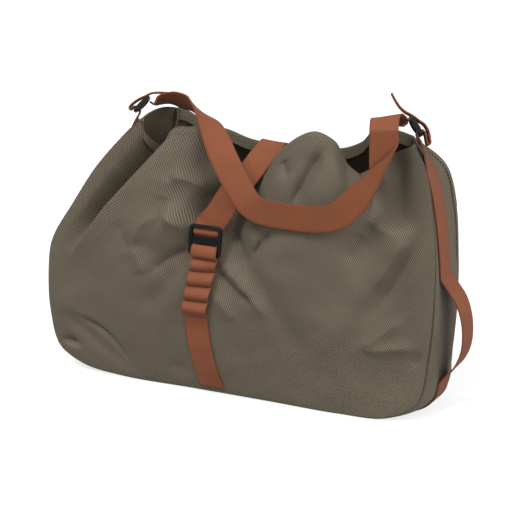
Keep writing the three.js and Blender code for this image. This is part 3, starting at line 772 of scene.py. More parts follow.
def grid_piece(name, grid, flat, flip=False):
    """Add a flat grid, lay it over a grid of points in millimetres, and give it a UV map in metres."""
    rows, cells = grid.shape[0] - 1, grid.shape[1] - 1
    bare_selection()
    bpy.ops.mesh.primitive_grid_add(x_subdivisions=cells, y_subdivisions=rows, size=1, calc_uvs=True)
    piece = bpy.context.object
    piece.name = piece.data.name = name
    mesh = piece.data
    spots = np.empty(len(mesh.vertices) * 3)
    mesh.vertices.foreach_get("co", spots)
    spots = spots.reshape(-1, 3) + 0.5
    j = np.rint(spots[:, 0] * cells).astype(int)
    i = np.rint(spots[:, 1] * rows).astype(int)
    mesh.vertices.foreach_set("co", (grid[i, j] * MM).ravel())
    corners = np.empty(len(mesh.loops), dtype=np.int32)
    mesh.loops.foreach_get("vertex_index", corners)
    mesh.uv_layers[0].data.foreach_set("uv", (flat[i, j] * MM)[corners].ravel())
    if flip:
        mesh.flip_normals()
    mesh.update()
    return piece


def apply_modifier(piece, kind, **settings):
    """Add one modifier to a piece and apply it."""
    bpy.context.view_layer.objects.active = piece
    made = piece.modifiers.new(kind.title(), kind)
    for name, value in settings.items():
        setattr(made, name, value)
    bpy.ops.object.modifier_apply(modifier=made.name)


def soften_edges(piece, width, segments, angle):
    """Bevel the edges of a piece that are sharper than an angle in degrees."""
    limit = math.radians(angle)
    apply_modifier(piece, "BEVEL", width=width, segments=segments, limit_method="ANGLE", angle_limit=limit)


def finish_piece(piece, material, nodes=(), angle=40):
    """Shade a piece, give it its finish, and let it ride on the bag's body in place of CAD nodes."""
    bare_selection()
    piece.select_set(True)
    bpy.context.view_layer.objects.active = piece
    bpy.ops.object.shade_smooth_by_angle(angle=math.radians(angle))
    piece.data.materials.clear()
    piece.data.materials.append(material)
    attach(piece, BODY)
    if nodes:
        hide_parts(*nodes)


def seam_turn():
    """How far the four rows of cloth nearest a seam are turned in, from the cut edge to the seam line."""
    return np.linspace(sizes().seam_allowance, sizes().seam_groove, 4) / MM


def run_along(grid, axis):
    """The length run along each line of a grid of points."""
    steps = np.linalg.norm(np.diff(grid, axis=axis), axis=2)
    start = np.zeros_like(np.take(steps, [0], axis=axis))
    return np.concatenate([start, np.cumsum(steps, axis=axis)], axis=axis)


def cloth_panel(name, surface, seam, corners, top, inward, counts):
    """A cloth panel with its edges turned in along the seam and its hem turned over at the mouth."""
    across, up, over = counts
    turn_in = seam_turn()
    u = np.concatenate([[0] * 3, np.linspace(0, 1, across + 1), [1] * 3])
    u_turn = np.concatenate([turn_in, np.zeros(across - 1), turn_in[::-1]])
    w = np.concatenate([[0] * 3, np.linspace(0, 1, up + 1), 1 + np.linspace(0, 1, over + 1)[1:]])
    w_turn = np.concatenate([turn_in, np.zeros(up + over)])
    w_grid, u_grid = np.meshgrid(w, u, indexing="ij")
    turn = np.maximum(*np.meshgrid(w_turn, u_turn, indexing="ij")).ravel()
    u_all, w_all = u_grid.ravel(), w_grid.ravel()
    point = surface(u_all, w_all)
    low_share, high_share = corners
    rise = np.minimum(w_all, 1)
    share = np.where(u_all <= 0, low_share * (1 - rise), high_share + (1 - high_share) * rise)
    on_base = (u_all > 0) & (u_all < 1)
    share = np.where(on_base, low_share + (high_share - low_share) * u_all, share)
    inside = unit(np.array([0, inward, 0]) - gusset_out(share))
    point += inside * turn[:, None]
    shape = w_grid.shape
    bulge = mm("front_bulge") if inward > 0 else mm("back_bulge")
    base = swollen(seam, corners, top, -inward * bulge, u_all, rise).reshape(*shape, 3)
    lie_across = run_along(base, 1)
    lie_across -= lie_across[:, shape[1] // 2 : shape[1] // 2 + 1]
    lie_across += u_turn * np.sign(u_grid - 0.5)
    turned_length = 40
    lie_up = run_along(base, 0) + turned_length * np.clip(w_grid - 1, 0, 1) - w_turn[:, None]
    flat = np.stack([lie_across, lie_up], axis=2)
    piece = grid_piece(name, point.reshape(*shape, 3), flat, flip=inward < 0)
    apply_modifier(piece, "SOLIDIFY", thickness=sizes().cloth_thickness, offset=-1)
    return piece


def strap_rows(middles, sides, count):
    """Even rows of webbing through middles and sides: each row's middle and the way across it."""
    path = Curve(middles)
    turn = Curve(sides, pull=0)
    share = path.by_length(np.linspace(0, 1, count + 1))
    step = 1e-4
    along = unit(path.at(share + step) - path.at(share - step))
    side = turn.at(share)
    side = unit(side - along * np.sum(side * along, axis=1, keepdims=True))
    return path.at(share), side


def strap_grid(middle, side, cells=STRAP_CELLS):
    """The grid of points of a strap, and its flat lie across and along."""
    across = np.linspace(-0.5, 0.5, cells + 1) * sizes().webbing_width / MM
    grid = middle[:, None] + side[:, None] * across[None, :, None]
    return grid, flat_lie(across, length_run(middle))


def strap_piece(name, grid, flat, nodes):
    """A webbing strap with soft edges from a grid of points."""
    piece = grid_piece(name, grid, flat)
    thick = sizes().webbing_thickness
    apply_modifier(piece, "SOLIDIFY", thickness=thick, offset=0)
    soften_edges(piece, 0.35 * thick, 2, 60)
    finish_piece(piece, webbing_finish(), nodes, angle=60)


class DiagonalFold:
    """A strap folded back over itself along a slanting line, as a map from the flat strap."""

    def __init__(self, row):
        self.middle = np.array(row["middle"], float)
        self.radius, self.reach = row["radius"], row["reach"]
        along = unit(np.array(row["along"], float))
        lower = np.array(row["lower"], float)
        self.lower = unit(lower - along * np.dot(lower, along))
        self.out = np.cross(self.lower, along)
        self.sine = math.sin(math.radians(row["angle"]))
        self.cosine = math.cos(math.radians(row["angle"]))
        self.line = self.cosine * along - self.sine * self.lower
        self.past = self.sine * along + self.cosine * self.lower
        self.back = -self.sine * self.line - self.cosine * self.past
        self.run = math.pi * self.radius / self.sine

    def place(self, along, lower):
        """Points from distances along the strap past the fold's middle and towards its lower edge."""
        past = along * self.sine + lower * self.cosine
        turn = np.clip(past / self.radius, 0, math.pi)
        beyond = np.maximum(past - math.pi * self.radius, 0)
        over = np.minimum(past, 0) + self.radius * np.sin(turn) - beyond
        behind = self.radius * (1 - np.cos(turn))
        along_line = along * self.cosine - lower * self.sine
        point = self.middle + self.line * along_line[..., None] + self.past * over[..., None]
        return point - self.out * behind[..., None]

    def grid(self, fan, bend, cells=STRAP_CELLS):
        """Rows fanned round to the fold line, over the bend and fanned back, with their flat lie."""
        half = mm("webbing_width") / 2
        slant = half * self.cosine / self.sine
        start, end = np.full(2, -self.reach), np.full(2, self.reach + self.run)
        before = np.array([slant, -slant])
        after = before + self.run
        shares = [np.linspace(0, 1, count + 1)[:, None] for count in (fan, bend, fan)]
        edges = np.concatenate(
            [
                start + shares[0] * (before - start),
                (before + shares[1] * (after - before))[1:],
                (after + shares[2] * (end - after))[1:],
            ]
        )
        across = np.linspace(0, 1, cells + 1)
        along = edges[:, :1] * (1 - across) + edges[:, 1:] * across
        lower = np.broadcast_to((2 * across - 1) * half, along.shape)
        return self.place(along, lower), np.stack([lower, along], axis=2)


def edge_lines(grid):
    """Both sewing lines of a strap: places beside its edges, and the ways along and out of its face."""
    lines = []
    for near, far, turned in ((0, -1, 1), (-1, 0, -1)):
        side = unit(grid[:, far] - grid[:, near])
        place = grid[:, near] + mm("stitch_inset") * side
        along = unit(np.gradient(place, axis=0))
        out = unit(np.cross(along, side) * turned)
        lines.append((place + out * (mm("webbing_thickness") / 2 + 0.1), along, out))
    return lines


def sew(name, lines):
    """Even stitches along lines of places: one low stitch, copied and joined."""
    bare_selection()
    bpy.ops.mesh.primitive_uv_sphere_add(segments=6, ring_count=4, radius=1)
    pattern = bpy.context.object
    pattern.scale = (sizes().stitch_length / 2, sizes().stitch_thickness / 2, sizes().stitch_thickness / 2)
    bpy.ops.object.transform_apply(location=False, rotation=False, scale=True)
    pitch = mm("stitch_pitch")
    copies = []
    for place, along, out in lines:
        run = length_run(place)
        for at in np.arange(0.5, run[-1] / pitch) * sizes().stitch_pitch / MM:
            row = min(np.searchsorted(run, at), len(run) - 1)
            lay = Matrix((along[row], np.cross(out[row], along[row]), out[row])).transposed().to_4x4()
            lay.translation = Vector(place[row] * MM)
            stitch = pattern.copy()
            stitch.data = pattern.data.copy()
            stitch.data.transform(lay)
            bpy.context.collection.objects.link(stitch)
            copies.append(stitch)
    bpy.data.objects.remove(pattern)
    bare_selection()
    for stitch in copies:
        stitch.select_set(True)
    bpy.context.view_layer.objects.active = copies[0]
    bpy.ops.object.join()
    copies[0].name = copies[0].data.name = name
    finish_piece(copies[0], thread_finish())


class Bench:
    """A fitting's own frame: across the strap, down the strap and over its face."""

    def __init__(self, name):
        row = FITTINGS[name]
        self.middle = np.array(row["middle"], float)
        self.across = unit(np.array(row["across"], float))
        down = np.array(row["down"], float)
        self.down = unit(down - self.across * np.dot(down, self.across))
        self.over = np.cross(self.across, self.down)

    def points(self, places):
        """Points from pairs of distance down and height over."""
        return [self.middle + self.down * down + self.over * over for down, over in places]

    def matrix(self):
        """The frame as a matrix in metres."""
        turn = Matrix((self.across, self.down, self.over)).transposed().to_4x4()
        return Matrix.Translation(Vector(self.middle * MM)) @ turn


def surface_tree(name):
    """A search tree of a finished piece."""
    mesh = bpy.data.objects[name].data
    spots = [vertex.co.copy() for vertex in mesh.vertices]
    return BVHTree.FromPolygons(spots, [tuple(face.vertices) for face in mesh.polygons])


def front_depth(tree, x, z, missing):
    """The Y of the outermost cloth behind a place in front view, in millimetres."""
    found = tree.ray_cast(Vector((x * MM, -1, z * MM)), Vector((0, 1, 0)))[0]
    return missing if found is None else found.y / MM


def soften(values, times):
    """Even out a list of heights along itself."""
    values = values.copy()
    for _ in range(times):
        values[1:-1] = (values[:-2] + 2 * values[1:-1] + values[2:]) / 4
    return values


def add_node(tree, kind, inputs=None, **settings):
    """Add one shader node with its settings, its fixed inputs and its links."""
    made = tree.nodes.new(kind)
    for name, value in settings.items():
        setattr(made, name, value)
    for name, value in (inputs or {}).items():
        if isinstance(value, bpy.types.NodeSocket):
            tree.links.new(value, made.inputs[name])
        else:
            made.inputs[name].default_value = value
    return made


def new_finish(name):
    """A new named material with its empty node tree, or the one that is there already and no tree."""
    material = bpy.data.materials.get(name)
    if material:
        return material, None
    material = bpy.data.materials.new(name)
    material.use_nodes = True
    material.node_tree.nodes.clear()
    return material, material.node_tree


def object_place(tree):
    """Places in the piece's own frame."""
    return add_node(tree, "ShaderNodeTexCoord").outputs["Object"]


def uneven(tree, vector, scale, detail):
    """Uneven shares over a surface, from 0 to 1."""
    inputs = {"Vector": vector, "Scale": scale, "Detail": detail}
    return add_node(tree, "ShaderNodeTexNoise", inputs).outputs["Fac"]


def carried(tree, value, source, target=(0.0, 1.0), **settings):
    """A value carried from one range into another."""
    ends = {"From Min": source[0], "From Max": source[1], "To Min": target[0], "To Max": target[1]}
    return add_node(tree, "ShaderNodeMapRange", {"Value": value, **ends}, **settings).outputs[0]


def worked(tree, operation, *values, **settings):
    """The result of one step of arithmetic."""
    made = add_node(tree, "ShaderNodeMath", dict(enumerate(values)), operation=operation, **settings)
    return made.outputs[0]


def mixed(tree, factor, first, second, kind="RGBA"):
    """A mix of two colours, or of two values."""
    inputs = {"Factor": factor, "A": first, "B": second}
    return add_node(tree, "ShaderNodeMix", inputs, data_type=kind).outputs["Result"]


def crossed_waves(tree, split, wide, high):
    """Waves across and along the flat lie, multiplied into a check from -1 to 1."""
    waves = []
    for axis, pitch in (("X", wide), ("Y", high)):
        turns = worked(tree, "MULTIPLY", split.outputs[axis], 2 * math.pi / (pitch * MM))
        waves.append(worked(tree, "SINE", turns))
    return worked(tree, "MULTIPLY", *waves)


def faded(tree, colour, scale, detail, span):
    """A colour with a soft uneven fade."""
    tint = carried(tree, uneven(tree, object_place(tree), scale, detail), NOISE_SPAN, span)
    return add_node(tree, "ShaderNodeHueSaturation", {"Color": colour, "Value": tint}).outputs[0]


def relief(tree, height, strength, distance):
    """Fine relief from a height."""
    inputs = {"Height": height, "Strength": strength, "Distance": distance}
    return add_node(tree, "ShaderNodeBump", inputs).outputs[0]


def show(tree, inputs):
    """The surface of a material, joined to its output."""
    surface = add_node(tree, "ShaderNodeBsdfPrincipled", inputs)
    add_node(tree, "ShaderNodeOutputMaterial", {"Surface": surface.outputs[0]})


def cloth_finish():
    """Coated nylon oxford: a fine staggered check of raised and sunk yarn, the sunk yarn darkened by painted
    shade, matt, with a faint sheen at the edges.
    """
    material, tree = new_finish("coated_nylon_oxford")
    if not tree:
        return material
    paint = colours()
    lie = add_node(tree, "ShaderNodeUVMap", uv_map="UVMap").outputs[0]
    split = add_node(tree, "ShaderNodeSeparateXYZ", {0: lie})
    check = crossed_waves(tree, split, WEAVE_WIDE, WEAVE_HIGH)
    weave = carried(tree, check, (-0.5, 0.5), interpolation_type="SMOOTHSTEP")
    slub = carried(tree, uneven(tree, lie, 900.0, 2.0), NOISE_SPAN, (-0.1, 0.1))
    yarn = worked(tree, "ADD", weave, slub, use_clamp=True)
    # The weave's check is its pattern; the sunk yarn takes the painted shade colour, the raised yarn the
    # cloth's own colour
    colour = mixed(tree, yarn, (*paint.cloth_sunk_shade, 1), (*paint.cloth_light, 1))
    show(
        tree,
        {
            "Base Color": faded(tree, colour, 14.0, 3.0, (0.93, 1.07)),
            "Roughness": carried(tree, yarn, (0.0, 1.0), (0.78, 0.58)),
            "Normal": relief(tree, yarn, 0.55, 0.0006),
            "Sheen Weight": 0.08,
            "Sheen Roughness": 0.5,
            "Specular IOR Level": 0.38,
        },
    )
    return material


def webbing_finish():
    """Flat polyester webbing: a fine check of ribs, a tighter selvage along both edges, matt."""
    material, tree = new_finish("flat_woven_webbing")
    if not tree:
        return material
    paint = colours()
    lie = add_node(tree, "ShaderNodeUVMap", uv_map="UVMap").outputs[0]
    split = add_node(tree, "ShaderNodeSeparateXYZ", {0: lie})
    rib = carried(tree, crossed_waves(tree, split, RIB_WIDE, RIB_PITCH), (-1.0, 1.0))
    from_middle = worked(tree, "ABSOLUTE", split.outputs["X"])
    half = sizes().webbing_width / 2
    selvage = carried(tree, from_middle, (half - 0.0022, half - 0.0008), (0.0, 0.35))
    deep = worked(tree, "SUBTRACT", rib, selvage, use_clamp=True)
    grain = carried(tree, uneven(tree, lie, 1300.0, 2.0), NOISE_SPAN, (0.25, 0.85))
    yarn = mixed(tree, 0.5, deep, grain, kind="FLOAT")
    colour = mixed(tree, yarn, (*paint.webbing_deep, 1), (*paint.webbing, 1))
    show(
        tree,
        {
            "Base Color": faded(tree, colour, 30.0, 4.0, (0.94, 1.08)),
            "Roughness": 0.8,
            "Normal": relief(tree, yarn, 0.5, 0.0004),
            "Sheen Weight": 0.06,
            "Sheen Roughness": 0.45,
            "Specular IOR Level": 0.3,
        },
    )
    return material


def fitting_finish():
    """Injection-moulded nylon: near black, satin, with a fine grained skin and light scuffs."""
    material, tree = new_finish("moulded_nylon")
    if not tree:
        return material
    place = object_place(tree)
    scuff = uneven(tree, place, 220.0, 5.0)
    worn = carried(tree, scuff, (0.55, 0.8), (0.0, 0.25))
    base = colours().fitting
    show(
        tree,
        {
            "Base Color": mixed(tree, worn, (*base, 1), (*(2.2 * share for share in base), 1)),
            "Roughness": carried(tree, scuff, (0.3, 0.75), (0.3, 0.5)),
            "Normal": relief(tree, uneven(tree, place, 1600.0, 2.0), 0.25, 0.0002),
            "IOR": 1.53,
            "Specular IOR Level": 0.22,
        },
    )
    return material


def thread_finish():
    """Twisted polyester sewing thread: matt, with the twist as a fine uneven shade."""
    material, tree = new_finish("rust_thread")
    if not tree:
        return material
    twist = uneven(tree, object_place(tree), 2400.0, 1.0)
    dark, light = ((*(tone * share for share in colours().thread_rust), 1) for tone in (0.6, 1.3))
    shade = mixed(tree, twist, dark, light)
    show(tree, {"Base Color": shade, "Roughness": 0.7, "Specular IOR Level": 0.3})
    return material


def paper_finish():
    """Matt studio paper, which glows for the camera alone and so throws no light on the bag."""
    material, tree = new_finish("studio_paper")
    if not tree:
        return material
    seen = add_node(tree, "ShaderNodeLightPath").outputs["Is Camera Ray"]
    mottle = uneven(tree, object_place(tree), 40.0, 2.0)
    show(
        tree,
        {
            "Base Color": (*colours().floor, 1),
            "Roughness": carried(tree, mottle, (0.0, 1.0), (0.85, 0.95)),
            "Specular IOR Level": 0.1,
            "Emission Color": (1, 1, 1, 1),
            "Emission Strength": worked(tree, "MULTIPLY", seen, FLOOR_GLOW),
        },
    )
    return material


class BAG_OT_stage(bpy.types.Operator):
    """Set up the pale floor, the soft studio light and the camera"""

    bl_idname = "bag.stage"
    bl_label = "Stage"

    def execute(self, context):
        scene = context.scene
        view = scene.bag_view
        bare_selection()
        bpy.ops.mesh.primitive_plane_add(size=FLOOR_SIZE)
        floor = context.object
        floor.name = "floor"
        floor.data.materials.append(paper_finish())

        world = bpy.data.worlds.new("studio")
        world.use_nodes = True
        world.node_tree.nodes["Background"].inputs["Color"].default_value = (1, 1, 1, 1)
        world.node_tree.nodes["Background"].inputs["Strength"].default_value = ROOM_LIGHT
        scene.world = world
        for row in LAMPS:
            bare_selection()
            bpy.ops.object.light_add(type="SUN", location=row["spot"])
            lamp = context.object
            lamp.name = row["name"]
            lamp.data.angle = math.radians(row["spread"])
            lamp.data.energy = row["power"]
            lamp.rotation_euler = (-Vector(row["spot"])).to_track_quat("-Z", "Y").to_euler()

        aim = Vector(view.aim)
        level = math.cos(view.elevation)
        away = Vector(
            (math.sin(view.azimuth) * level, -math.cos(view.azimuth) * level, math.sin(view.elevation))
        )
        bare_selection()
        bpy.ops.object.camera_add(location=aim + view.distance * away)
        camera = context.object
        camera.name = "studio_camera"
        camera.rotation_euler = (-away).to_track_quat("-Z", "Y").to_euler()
        camera.data.lens = view.lens
        camera.data.sensor_width = 36
        scene.camera = camera
        scene.view_settings.view_transform = "Standard"
        return {"FINISHED"}


class BAG_OT_front_panel(bpy.types.Operator):
    """Make the front panel with its lobes, pleats and creases"""

    bl_idname = "bag.front_panel"
    bl_label = "Front panel"

    def execute(self, context):
        piece = cloth_panel(
            "front_panel_cloth", front_point, FRONT_SEAM, FRONT_CORNERS, FRONT_TOP, 1, FRONT_CELLS
        )
        finish_piece(piece, cloth_finish(), ["front_panel"])
        return {"FINISHED"}


class BAG_OT_back_panel(bpy.types.Operator):
    """Make the back panel with its hem"""

    bl_idname = "bag.back_panel"
    bl_label = "Back panel"

    def execute(self, context):
        piece = cloth_panel(
            "back_panel_cloth", back_point, BACK_SEAM, BACK_CORNERS, BACK_TOP, -1, BACK_CELLS
        )
        finish_piece(piece, cloth_finish(), ["back_panel"])
        return {"FINISHED"}


class BAG_OT_gusset(bpy.types.Operator):
    """Make the gusset strip round both ends and the base"""

    bl_idname = "bag.gusset"
    bl_label = "Gusset strip"

    def execute(self, context):
        cells, rows = 36, 420
        half_width = 38
        turn_in = seam_turn()
        across = np.concatenate([[-1] * 3, np.linspace(-1, 1, cells + 1), [1] * 3])
        turn = np.concatenate([turn_in, np.zeros(cells - 1), turn_in[::-1]])
        inward = np.where(across < 0, 1.0, -1.0)
        ways_in = np.stack([0 * inward, inward, 0 * inward], axis=1)
        share = np.linspace(0, 1, rows + 1)
        out = gusset_out(share)
        grid = np.array(
            [
                gusset_point(np.full_like(across, place), across) + unit(ways_in - way) * turn[:, None]
                for place, way in zip(share, out)
            ]
        )
        free = smooth((np.abs(across) - WEBBING_EDGE) * 6) * smooth((1 - np.abs(across)) * 5)
        height = wrinkles(grid.reshape(-1, 3), "gusset").reshape(grid.shape[:2])
        clear = smooth((grid[:, :, 2] - WRINKLES_FROM) / WRINKLES_RISE)
        grid += out[:, None, :] * (GUSSET_WRINKLE * height * free[None, :] * clear)[:, :, None]
        run = length_run(grid[:, len(across) // 2])
        flat = flat_lie(half_width * across + turn * np.sign(across), run)
        piece = grid_piece("gusset_cloth", grid, flat)
        apply_modifier(piece, "SOLIDIFY", thickness=sizes().cloth_thickness, offset=-1)
        finish_piece(piece, cloth_finish(), ["gusset_strip"])
        return {"FINISHED"}


def carry_middle(share):
    """The middle of the carry webbing at shares of the gusset, standing off it along the grab loop."""
    thick = mm("webbing_thickness")
    point = gusset_point(share, np.zeros_like(share))
    low, high = GRAB_LOOP[0]["at"], GRAB_LOOP[-1]["at"]
    in_loop = (point[:, 0] > 0) & (point[:, 2] > low) & (point[:, 2] < high)
    off = np.where(in_loop, np.maximum(read(GRAB_LOOP, point[:, 2], "off"), 0), 0)
    point += gusset_out(share) * (CARRY_GAP + thick / 2 + off)[:, None]
    point[:, 2] = np.maximum(point[:, 2], thick / 2)
    return point


def carry_side(share):
    """The way across the carry webbing at shares of the gusset."""
    edge = np.full_like(share, WEBBING_EDGE)
    return unit(gusset_point(share, edge) - gusset_point(share, -edge))


def carry_end(name, share, count):
    """Rows of the carry webbing from the gusset through a slider to its free tail."""
    bench = Bench(name)
    threaded = (*SLIDER_IN[name], *SLACK_LOOPS[name], *SLIDER_OUT)
    middles = bench.points((*threaded, *TAILS[name]))
    back = bench.across * np.sign(bench.across[1])
    turned = np.linspace(0, 1, len(TAILS[name]) + 1)[1:, None]
    sides = [back] * len(threaded) + [*(back * (1 - turned) + np.array(TAIL_SIDES[name]) * turned)]
    start = np.array([share])
    return strap_rows([*carry_middle(start), *middles], [*carry_side(start), *sides], count)


class BAG_OT_carry_webbing(bpy.types.Operator):
    """Make the carry webbing along the gusset, with its grab loop, slider ends and free tails"""

    bl_idname = "bag.carry_webbing"
    bl_label = "Carry webbing"

    def execute(self, context):
        on_gusset = np.linspace(CARRY_FROM, CARRY_TO, ROWS["carry"])
        left = carry_end("slider_left", CARRY_FROM, ROWS["left_end"])
        right = carry_end("slider_right", CARRY_TO, ROWS["right_end"])
        middles = np.concatenate([left[0][:0:-1], carry_middle(on_gusset), right[0][1:]])
        sides = np.concatenate([left[1][:0:-1], carry_side(on_gusset), right[1][1:]])
        grid, flat = strap_grid(middles, sides, CARRY_CELLS)
        strap_piece("carry_webbing_strap", grid, flat, ["carry_webbing"])
        before_slider = np.arange(len(middles)) < len(left[0]) + len(on_gusset)
        on_right = before_slider & (middles[:, 0] > RIGHT_END)
        height = middles[:, 2]
        lines = []
        for low, high in CARRY_SEWN:
            lines += edge_lines(grid[on_right & (height > low) & (height < high)])
        sew("carry_webbing_stitches", lines)
        return {"FINISHED"}


class BAG_OT_shoulder_strap(bpy.types.Operator):
    """Make the shoulder strap draped over the front"""

    bl_idname = "bag.shoulder_strap"
    bl_label = "Shoulder strap"

    def execute(self, context):
        left, right = Bench("slider_left"), Bench("slider_right")
        turn = DiagonalFold(STRAP_FOLD)
        entry = turn.place(np.array([-turn.reach]), np.zeros(1))
        leave = turn.place(np.array([turn.reach + turn.run]), np.zeros(1))
        drape = strap_rows(
            [*left.points(STRAP_ENDS["slider_left"]), *columns(SHOULDER_STRAP, "x", "y", "z"), *entry],
            [-left.across] * 2 + [*columns(SHOULDER_STRAP, "side_x", "side_y", "side_z"), turn.lower],
            ROWS["drape"],
        )
        rise = strap_rows(
            [*leave, *columns(STRAP_RISE, "x", "y", "z"), *right.points(STRAP_ENDS["slider_right"])[::-1]],
            [turn.back, *columns(STRAP_RISE, "side_x", "side_y", "side_z")] + [-right.across] * 2,
            ROWS["rise"],
        )
        before, lie_before = strap_grid(*drape)
        bend, lie_bend = turn.grid(ROWS["fold"], ROWS["fold"])
        after, lie_after = strap_grid(*rise)
        grid = np.concatenate([before[:-1], bend, after[1:]])
        bend_from = lie_before[:, :, 1].max() - lie_bend[0, 0, 1]
        after_from = bend_from + lie_bend[:, :, 1].max()
        flat = np.concatenate([lie_before[:-1], lie_bend + [0, bend_from], lie_after[1:] + [0, after_from]])
        # Lift the strap where it would cut into the front panel
        tree = surface_tree("front_panel_cloth")
        need = np.zeros(len(grid))
        for i, row in enumerate(grid):
            for x, y, z in row:
                if z < MEETS_BELOW and y < MEETS_BEFORE:
                    need[i] = max(need[i], y + STRAP_CLEAR - front_depth(tree, x, z, AIR_AT_STRAP))
        near = [slice(max(k - LIFT_SPREAD, 0), k + LIFT_SPREAD + 1) for k in range(len(need))]
        raised = np.array([need[rows].max() for rows in near])
        grid[:, :, 1] -= soften(raised, LIFT_EVEN)[:, None]
        strap_piece("shoulder_strap_webbing", grid, flat, ["shoulder_strap"])
        return {"FINISHED"}


class BAG_OT_front_webbing(bpy.types.Operator):
    """Make the front webbing with its chain of loops and its turn round the buckle's low bar"""

    bl_idname = "bag.front_webbing"
    bl_label = "Front webbing"

    def execute(self, context):
        tree = surface_tree("front_panel_cloth")
        thick = mm("webbing_thickness")
        across = np.linspace(0.5, -0.5, STRAP_CELLS + 1) * sizes().webbing_width / MM
        share = np.linspace(0, 1, ROWS["front"] + 1)
        x, z = read(FRONT_WEBBING, share, "x"), read(FRONT_WEBBING, share, "z")
        depth = np.array(
            [[front_depth(tree, px + off, pz, AIR_AT_WEBBING) for off in across] for px, pz in zip(x, z)]
        )
        depth = np.array([soften(line, 5) for line in depth.T]).T
        chain = np.clip((share - CHAIN_START) / (1 - CHAIN_START), 0, 1)
        loop = mm("chain_height") * np.abs(np.sin(np.pi * CHAIN_LOOPS * chain)) ** 0.8
        out = depth - FRONT_GAP - thick / 2 - loop[:, None]
        grid = np.stack([x[:, None] + across[None, :], out, z[:, None] + 0 * depth], axis=2)
        bench = Bench("ladder_buckle")
        thread = bench.points(FRONT_WEBBING_THREAD)
        turned, _ = strap_grid(*strap_rows(thread, [bench.across] * len(thread), ROWS["turn"]))
        grid = np.concatenate([grid, turned])
        flat = flat_lie(across, length_run(grid[:, len(across) // 2]))
        strap_piece("front_webbing_strap", grid, flat, ["front_webbing"])
        lines = edge_lines(grid[: np.searchsorted(share, CHAIN_START)])
        valleys = CHAIN_START + (1 - CHAIN_START) * np.arange(CHAIN_LOOPS + 1) / CHAIN_LOOPS
        for row in np.searchsorted(share, valleys - 1e-6):
            place = grid[row] - np.array([0, thick / 2 + 0.2, 0])
            forward = np.tile([0.0, -1.0, 0.0], (len(place), 1))
            lines.append((place, unit(np.gradient(place, axis=0)), forward))
        sew("front_webbing_stitches", lines)
        return {"FINISHED"}


class BAG_OT_top_strap(bpy.types.Operator):
    """Make the top strap from the buckle over the mouth to the back"""

    bl_idname = "bag.top_strap"
    bl_label = "Top strap"

    def execute(self, context):
        bench = Bench("ladder_buckle")
        tree = surface_tree("back_panel_cloth")
        lay = mm("webbing_thickness") / 2 + BACK_GAP
        down = []
        for share in np.linspace(0.2, 1, 5):
            x, z = TOP_STRAP[-1]["x"] + BACK_DRIFT * share, BACK_START - TOP_STRAP_BACK * share
            found = tree.ray_cast(Vector((x * MM, 1, z * MM)), Vector((0, -1, 0)))[0]
            down.append(np.array([x, found.y / MM + lay, z]))
        middles = [*bench.points(TOP_STRAP_THREAD), *columns(TOP_STRAP, "x", "y", "z"), *down]
        sides = [
            *[bench.across] * len(TOP_STRAP_THREAD),
            *columns(TOP_STRAP, "side_x", "side_y", "side_z"),
            *[np.array([-1, 0, 0.05])] * len(down),
        ]
        grid, flat = strap_grid(*strap_rows(middles, sides, ROWS["top"]))
        strap_piece("top_strap_webbing", grid, flat, ["top_strap"])
        return {"FINISHED"}


def carve(piece, operation, cutter):
    """Cut a piece by another one, which is then taken away."""
    apply_modifier(piece, "BOOLEAN", operation=operation, object=cutter, solver="EXACT")
    bpy.data.objects.remove(cutter)


def block(size, middle):
    """A plain block, in millimetres."""
    bare_selection()
    bpy.ops.mesh.primitive_cube_add(size=1)
    made = bpy.context.object
    made.data.transform(Matrix.Translation(Vector(middle) * MM) @ Matrix.Diagonal((*(Vector(size) * MM), 1)))
    return made


def round_corners(piece, thick, offset):
    """Bevel the upright edges of a block, in millimetres."""
    bpy.ops.object.mode_set(mode="EDIT")
    bpy.ops.mesh.select_mode(type="EDGE")
    bpy.ops.mesh.select_all(action="DESELECT")
    bpy.ops.object.mode_set(mode="OBJECT")
    for edge in piece.data.edges:
        ends = [piece.data.vertices[k].co for k in edge.vertices]
        edge.select = abs(ends[0].z - ends[1].z) > 0.5 * thick * MM
    bpy.ops.object.mode_set(mode="EDIT")
    bpy.ops.mesh.bevel(offset=offset * MM, segments=6, affect="EDGES")
    bpy.ops.object.mode_set(mode="OBJECT")


def bar_frame(name, mould):
    """A moulded frame with slots between its bars and lens-shaped side rails, set in its place."""
    width, length, thick = mould["size"]
    rail, slot, bars = mould["rail"], mould["slot"], mould["bars"]
    piece = block((width, length, rail), (0, 0, 0))
    piece.name = piece.data.name = name + "_moulding"
    round_corners(piece, thick, CORNER_SHARE * length)
    sag = rail / 2 - RAIL_END
    radius = ((length / 2) ** 2 + sag**2) / (2 * sag)
    for face in (-1, 1):
        bare_selection()
        bpy.ops.mesh.primitive_cylinder_add(vertices=160, radius=radius * MM, depth=2 * width * MM)
        lens = bpy.context.object
        turn = Matrix.Rotation(math.radians(90), 4, "Y")
        lens.data.transform(Matrix.Translation((0, 0, face * (radius - rail / 2) * MM)) @ turn)
        carve(piece, "INTERSECT", lens)
        carve(piece, "DIFFERENCE", block((2 * slot, 2 * length, rail), (0, 0, face * (thick + rail) / 2)))
    for low, high in zip(bars[:-1], bars[1:]):
        bottom, top = low[0] + low[1] / 2, high[0] - high[1] / 2
        carve(piece, "DIFFERENCE", block((2 * slot, top - bottom, 3 * rail), (0, (bottom + top) / 2, 0)))
    for place, wide in bars:
        if wide > WIDE_BAR:
            carve(piece, "DIFFERENCE", block((2 * slot, GROOVE_SHARE * wide, thick), (0, place, 0.8 * thick)))
    soften_edges(piece, 0.5 * MM, 3, 40)
    piece.data.transform(Bench(name).matrix())
    return piece


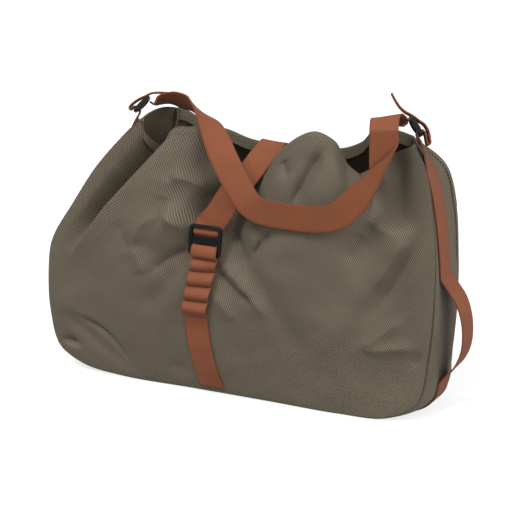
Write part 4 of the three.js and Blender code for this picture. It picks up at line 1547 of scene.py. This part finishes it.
class BAG_OT_fittings(bpy.types.Operator):
    """Make both strap sliders and the ladder buckle"""

    bl_idname = "bag.fittings"
    bl_label = "Fittings"

    def execute(self, context):
        for name, mould in MOULDS.items():
            finish_piece(bar_frame(name, mould), fitting_finish(), [name])
        return {"FINISHED"}


class BAG_PT_panel(bpy.types.Panel):
    """Lists the bag's sizes, colours and pieces in the sidebar"""

    bl_idname = "BAG_PT_panel"
    bl_label = "Wader Bag"
    bl_space_type = "VIEW_3D"
    bl_region_type = "UI"
    bl_category = "Wader Bag"

    def draw(self, context):
        layout = self.layout
        for group in (context.scene.bag_sizes, context.scene.bag_colours, context.scene.bag_view):
            box = layout.box()
            for name in group.__annotations__:
                box.prop(group, name)
        for operator in OPERATORS:
            layout.operator(operator.bl_idname)


GROUPS = (BagSizes, BagColours, BagView)
OPERATORS = (
    BAG_OT_stage,
    BAG_OT_front_panel,
    BAG_OT_back_panel,
    BAG_OT_gusset,
    BAG_OT_carry_webbing,
    BAG_OT_shoulder_strap,
    BAG_OT_front_webbing,
    BAG_OT_top_strap,
    BAG_OT_fittings,
)


def register():
    """Register the classes and hang the settings on the scene."""
    for group in (*GROUPS, *OPERATORS, BAG_PT_panel):
        bpy.utils.register_class(group)
    bpy.types.Scene.bag_sizes = bpy.props.PointerProperty(type=BagSizes)
    bpy.types.Scene.bag_colours = bpy.props.PointerProperty(type=BagColours)
    bpy.types.Scene.bag_view = bpy.props.PointerProperty(type=BagView)


def unregister():
    """Take the settings and the classes away again."""
    del bpy.types.Scene.bag_view
    del bpy.types.Scene.bag_colours
    del bpy.types.Scene.bag_sizes
    for group in reversed((*GROUPS, *OPERATORS, BAG_PT_panel)):
        bpy.utils.unregister_class(group)


def main():
    register()
    bpy.ops.bag.stage()
    bpy.ops.bag.front_panel()
    bpy.ops.bag.back_panel()
    bpy.ops.bag.gusset()
    bpy.ops.bag.carry_webbing()
    bpy.ops.bag.shoulder_strap()
    bpy.ops.bag.front_webbing()
    bpy.ops.bag.top_strap()
    bpy.ops.bag.fittings()


if __name__ == "__main__":
    main()
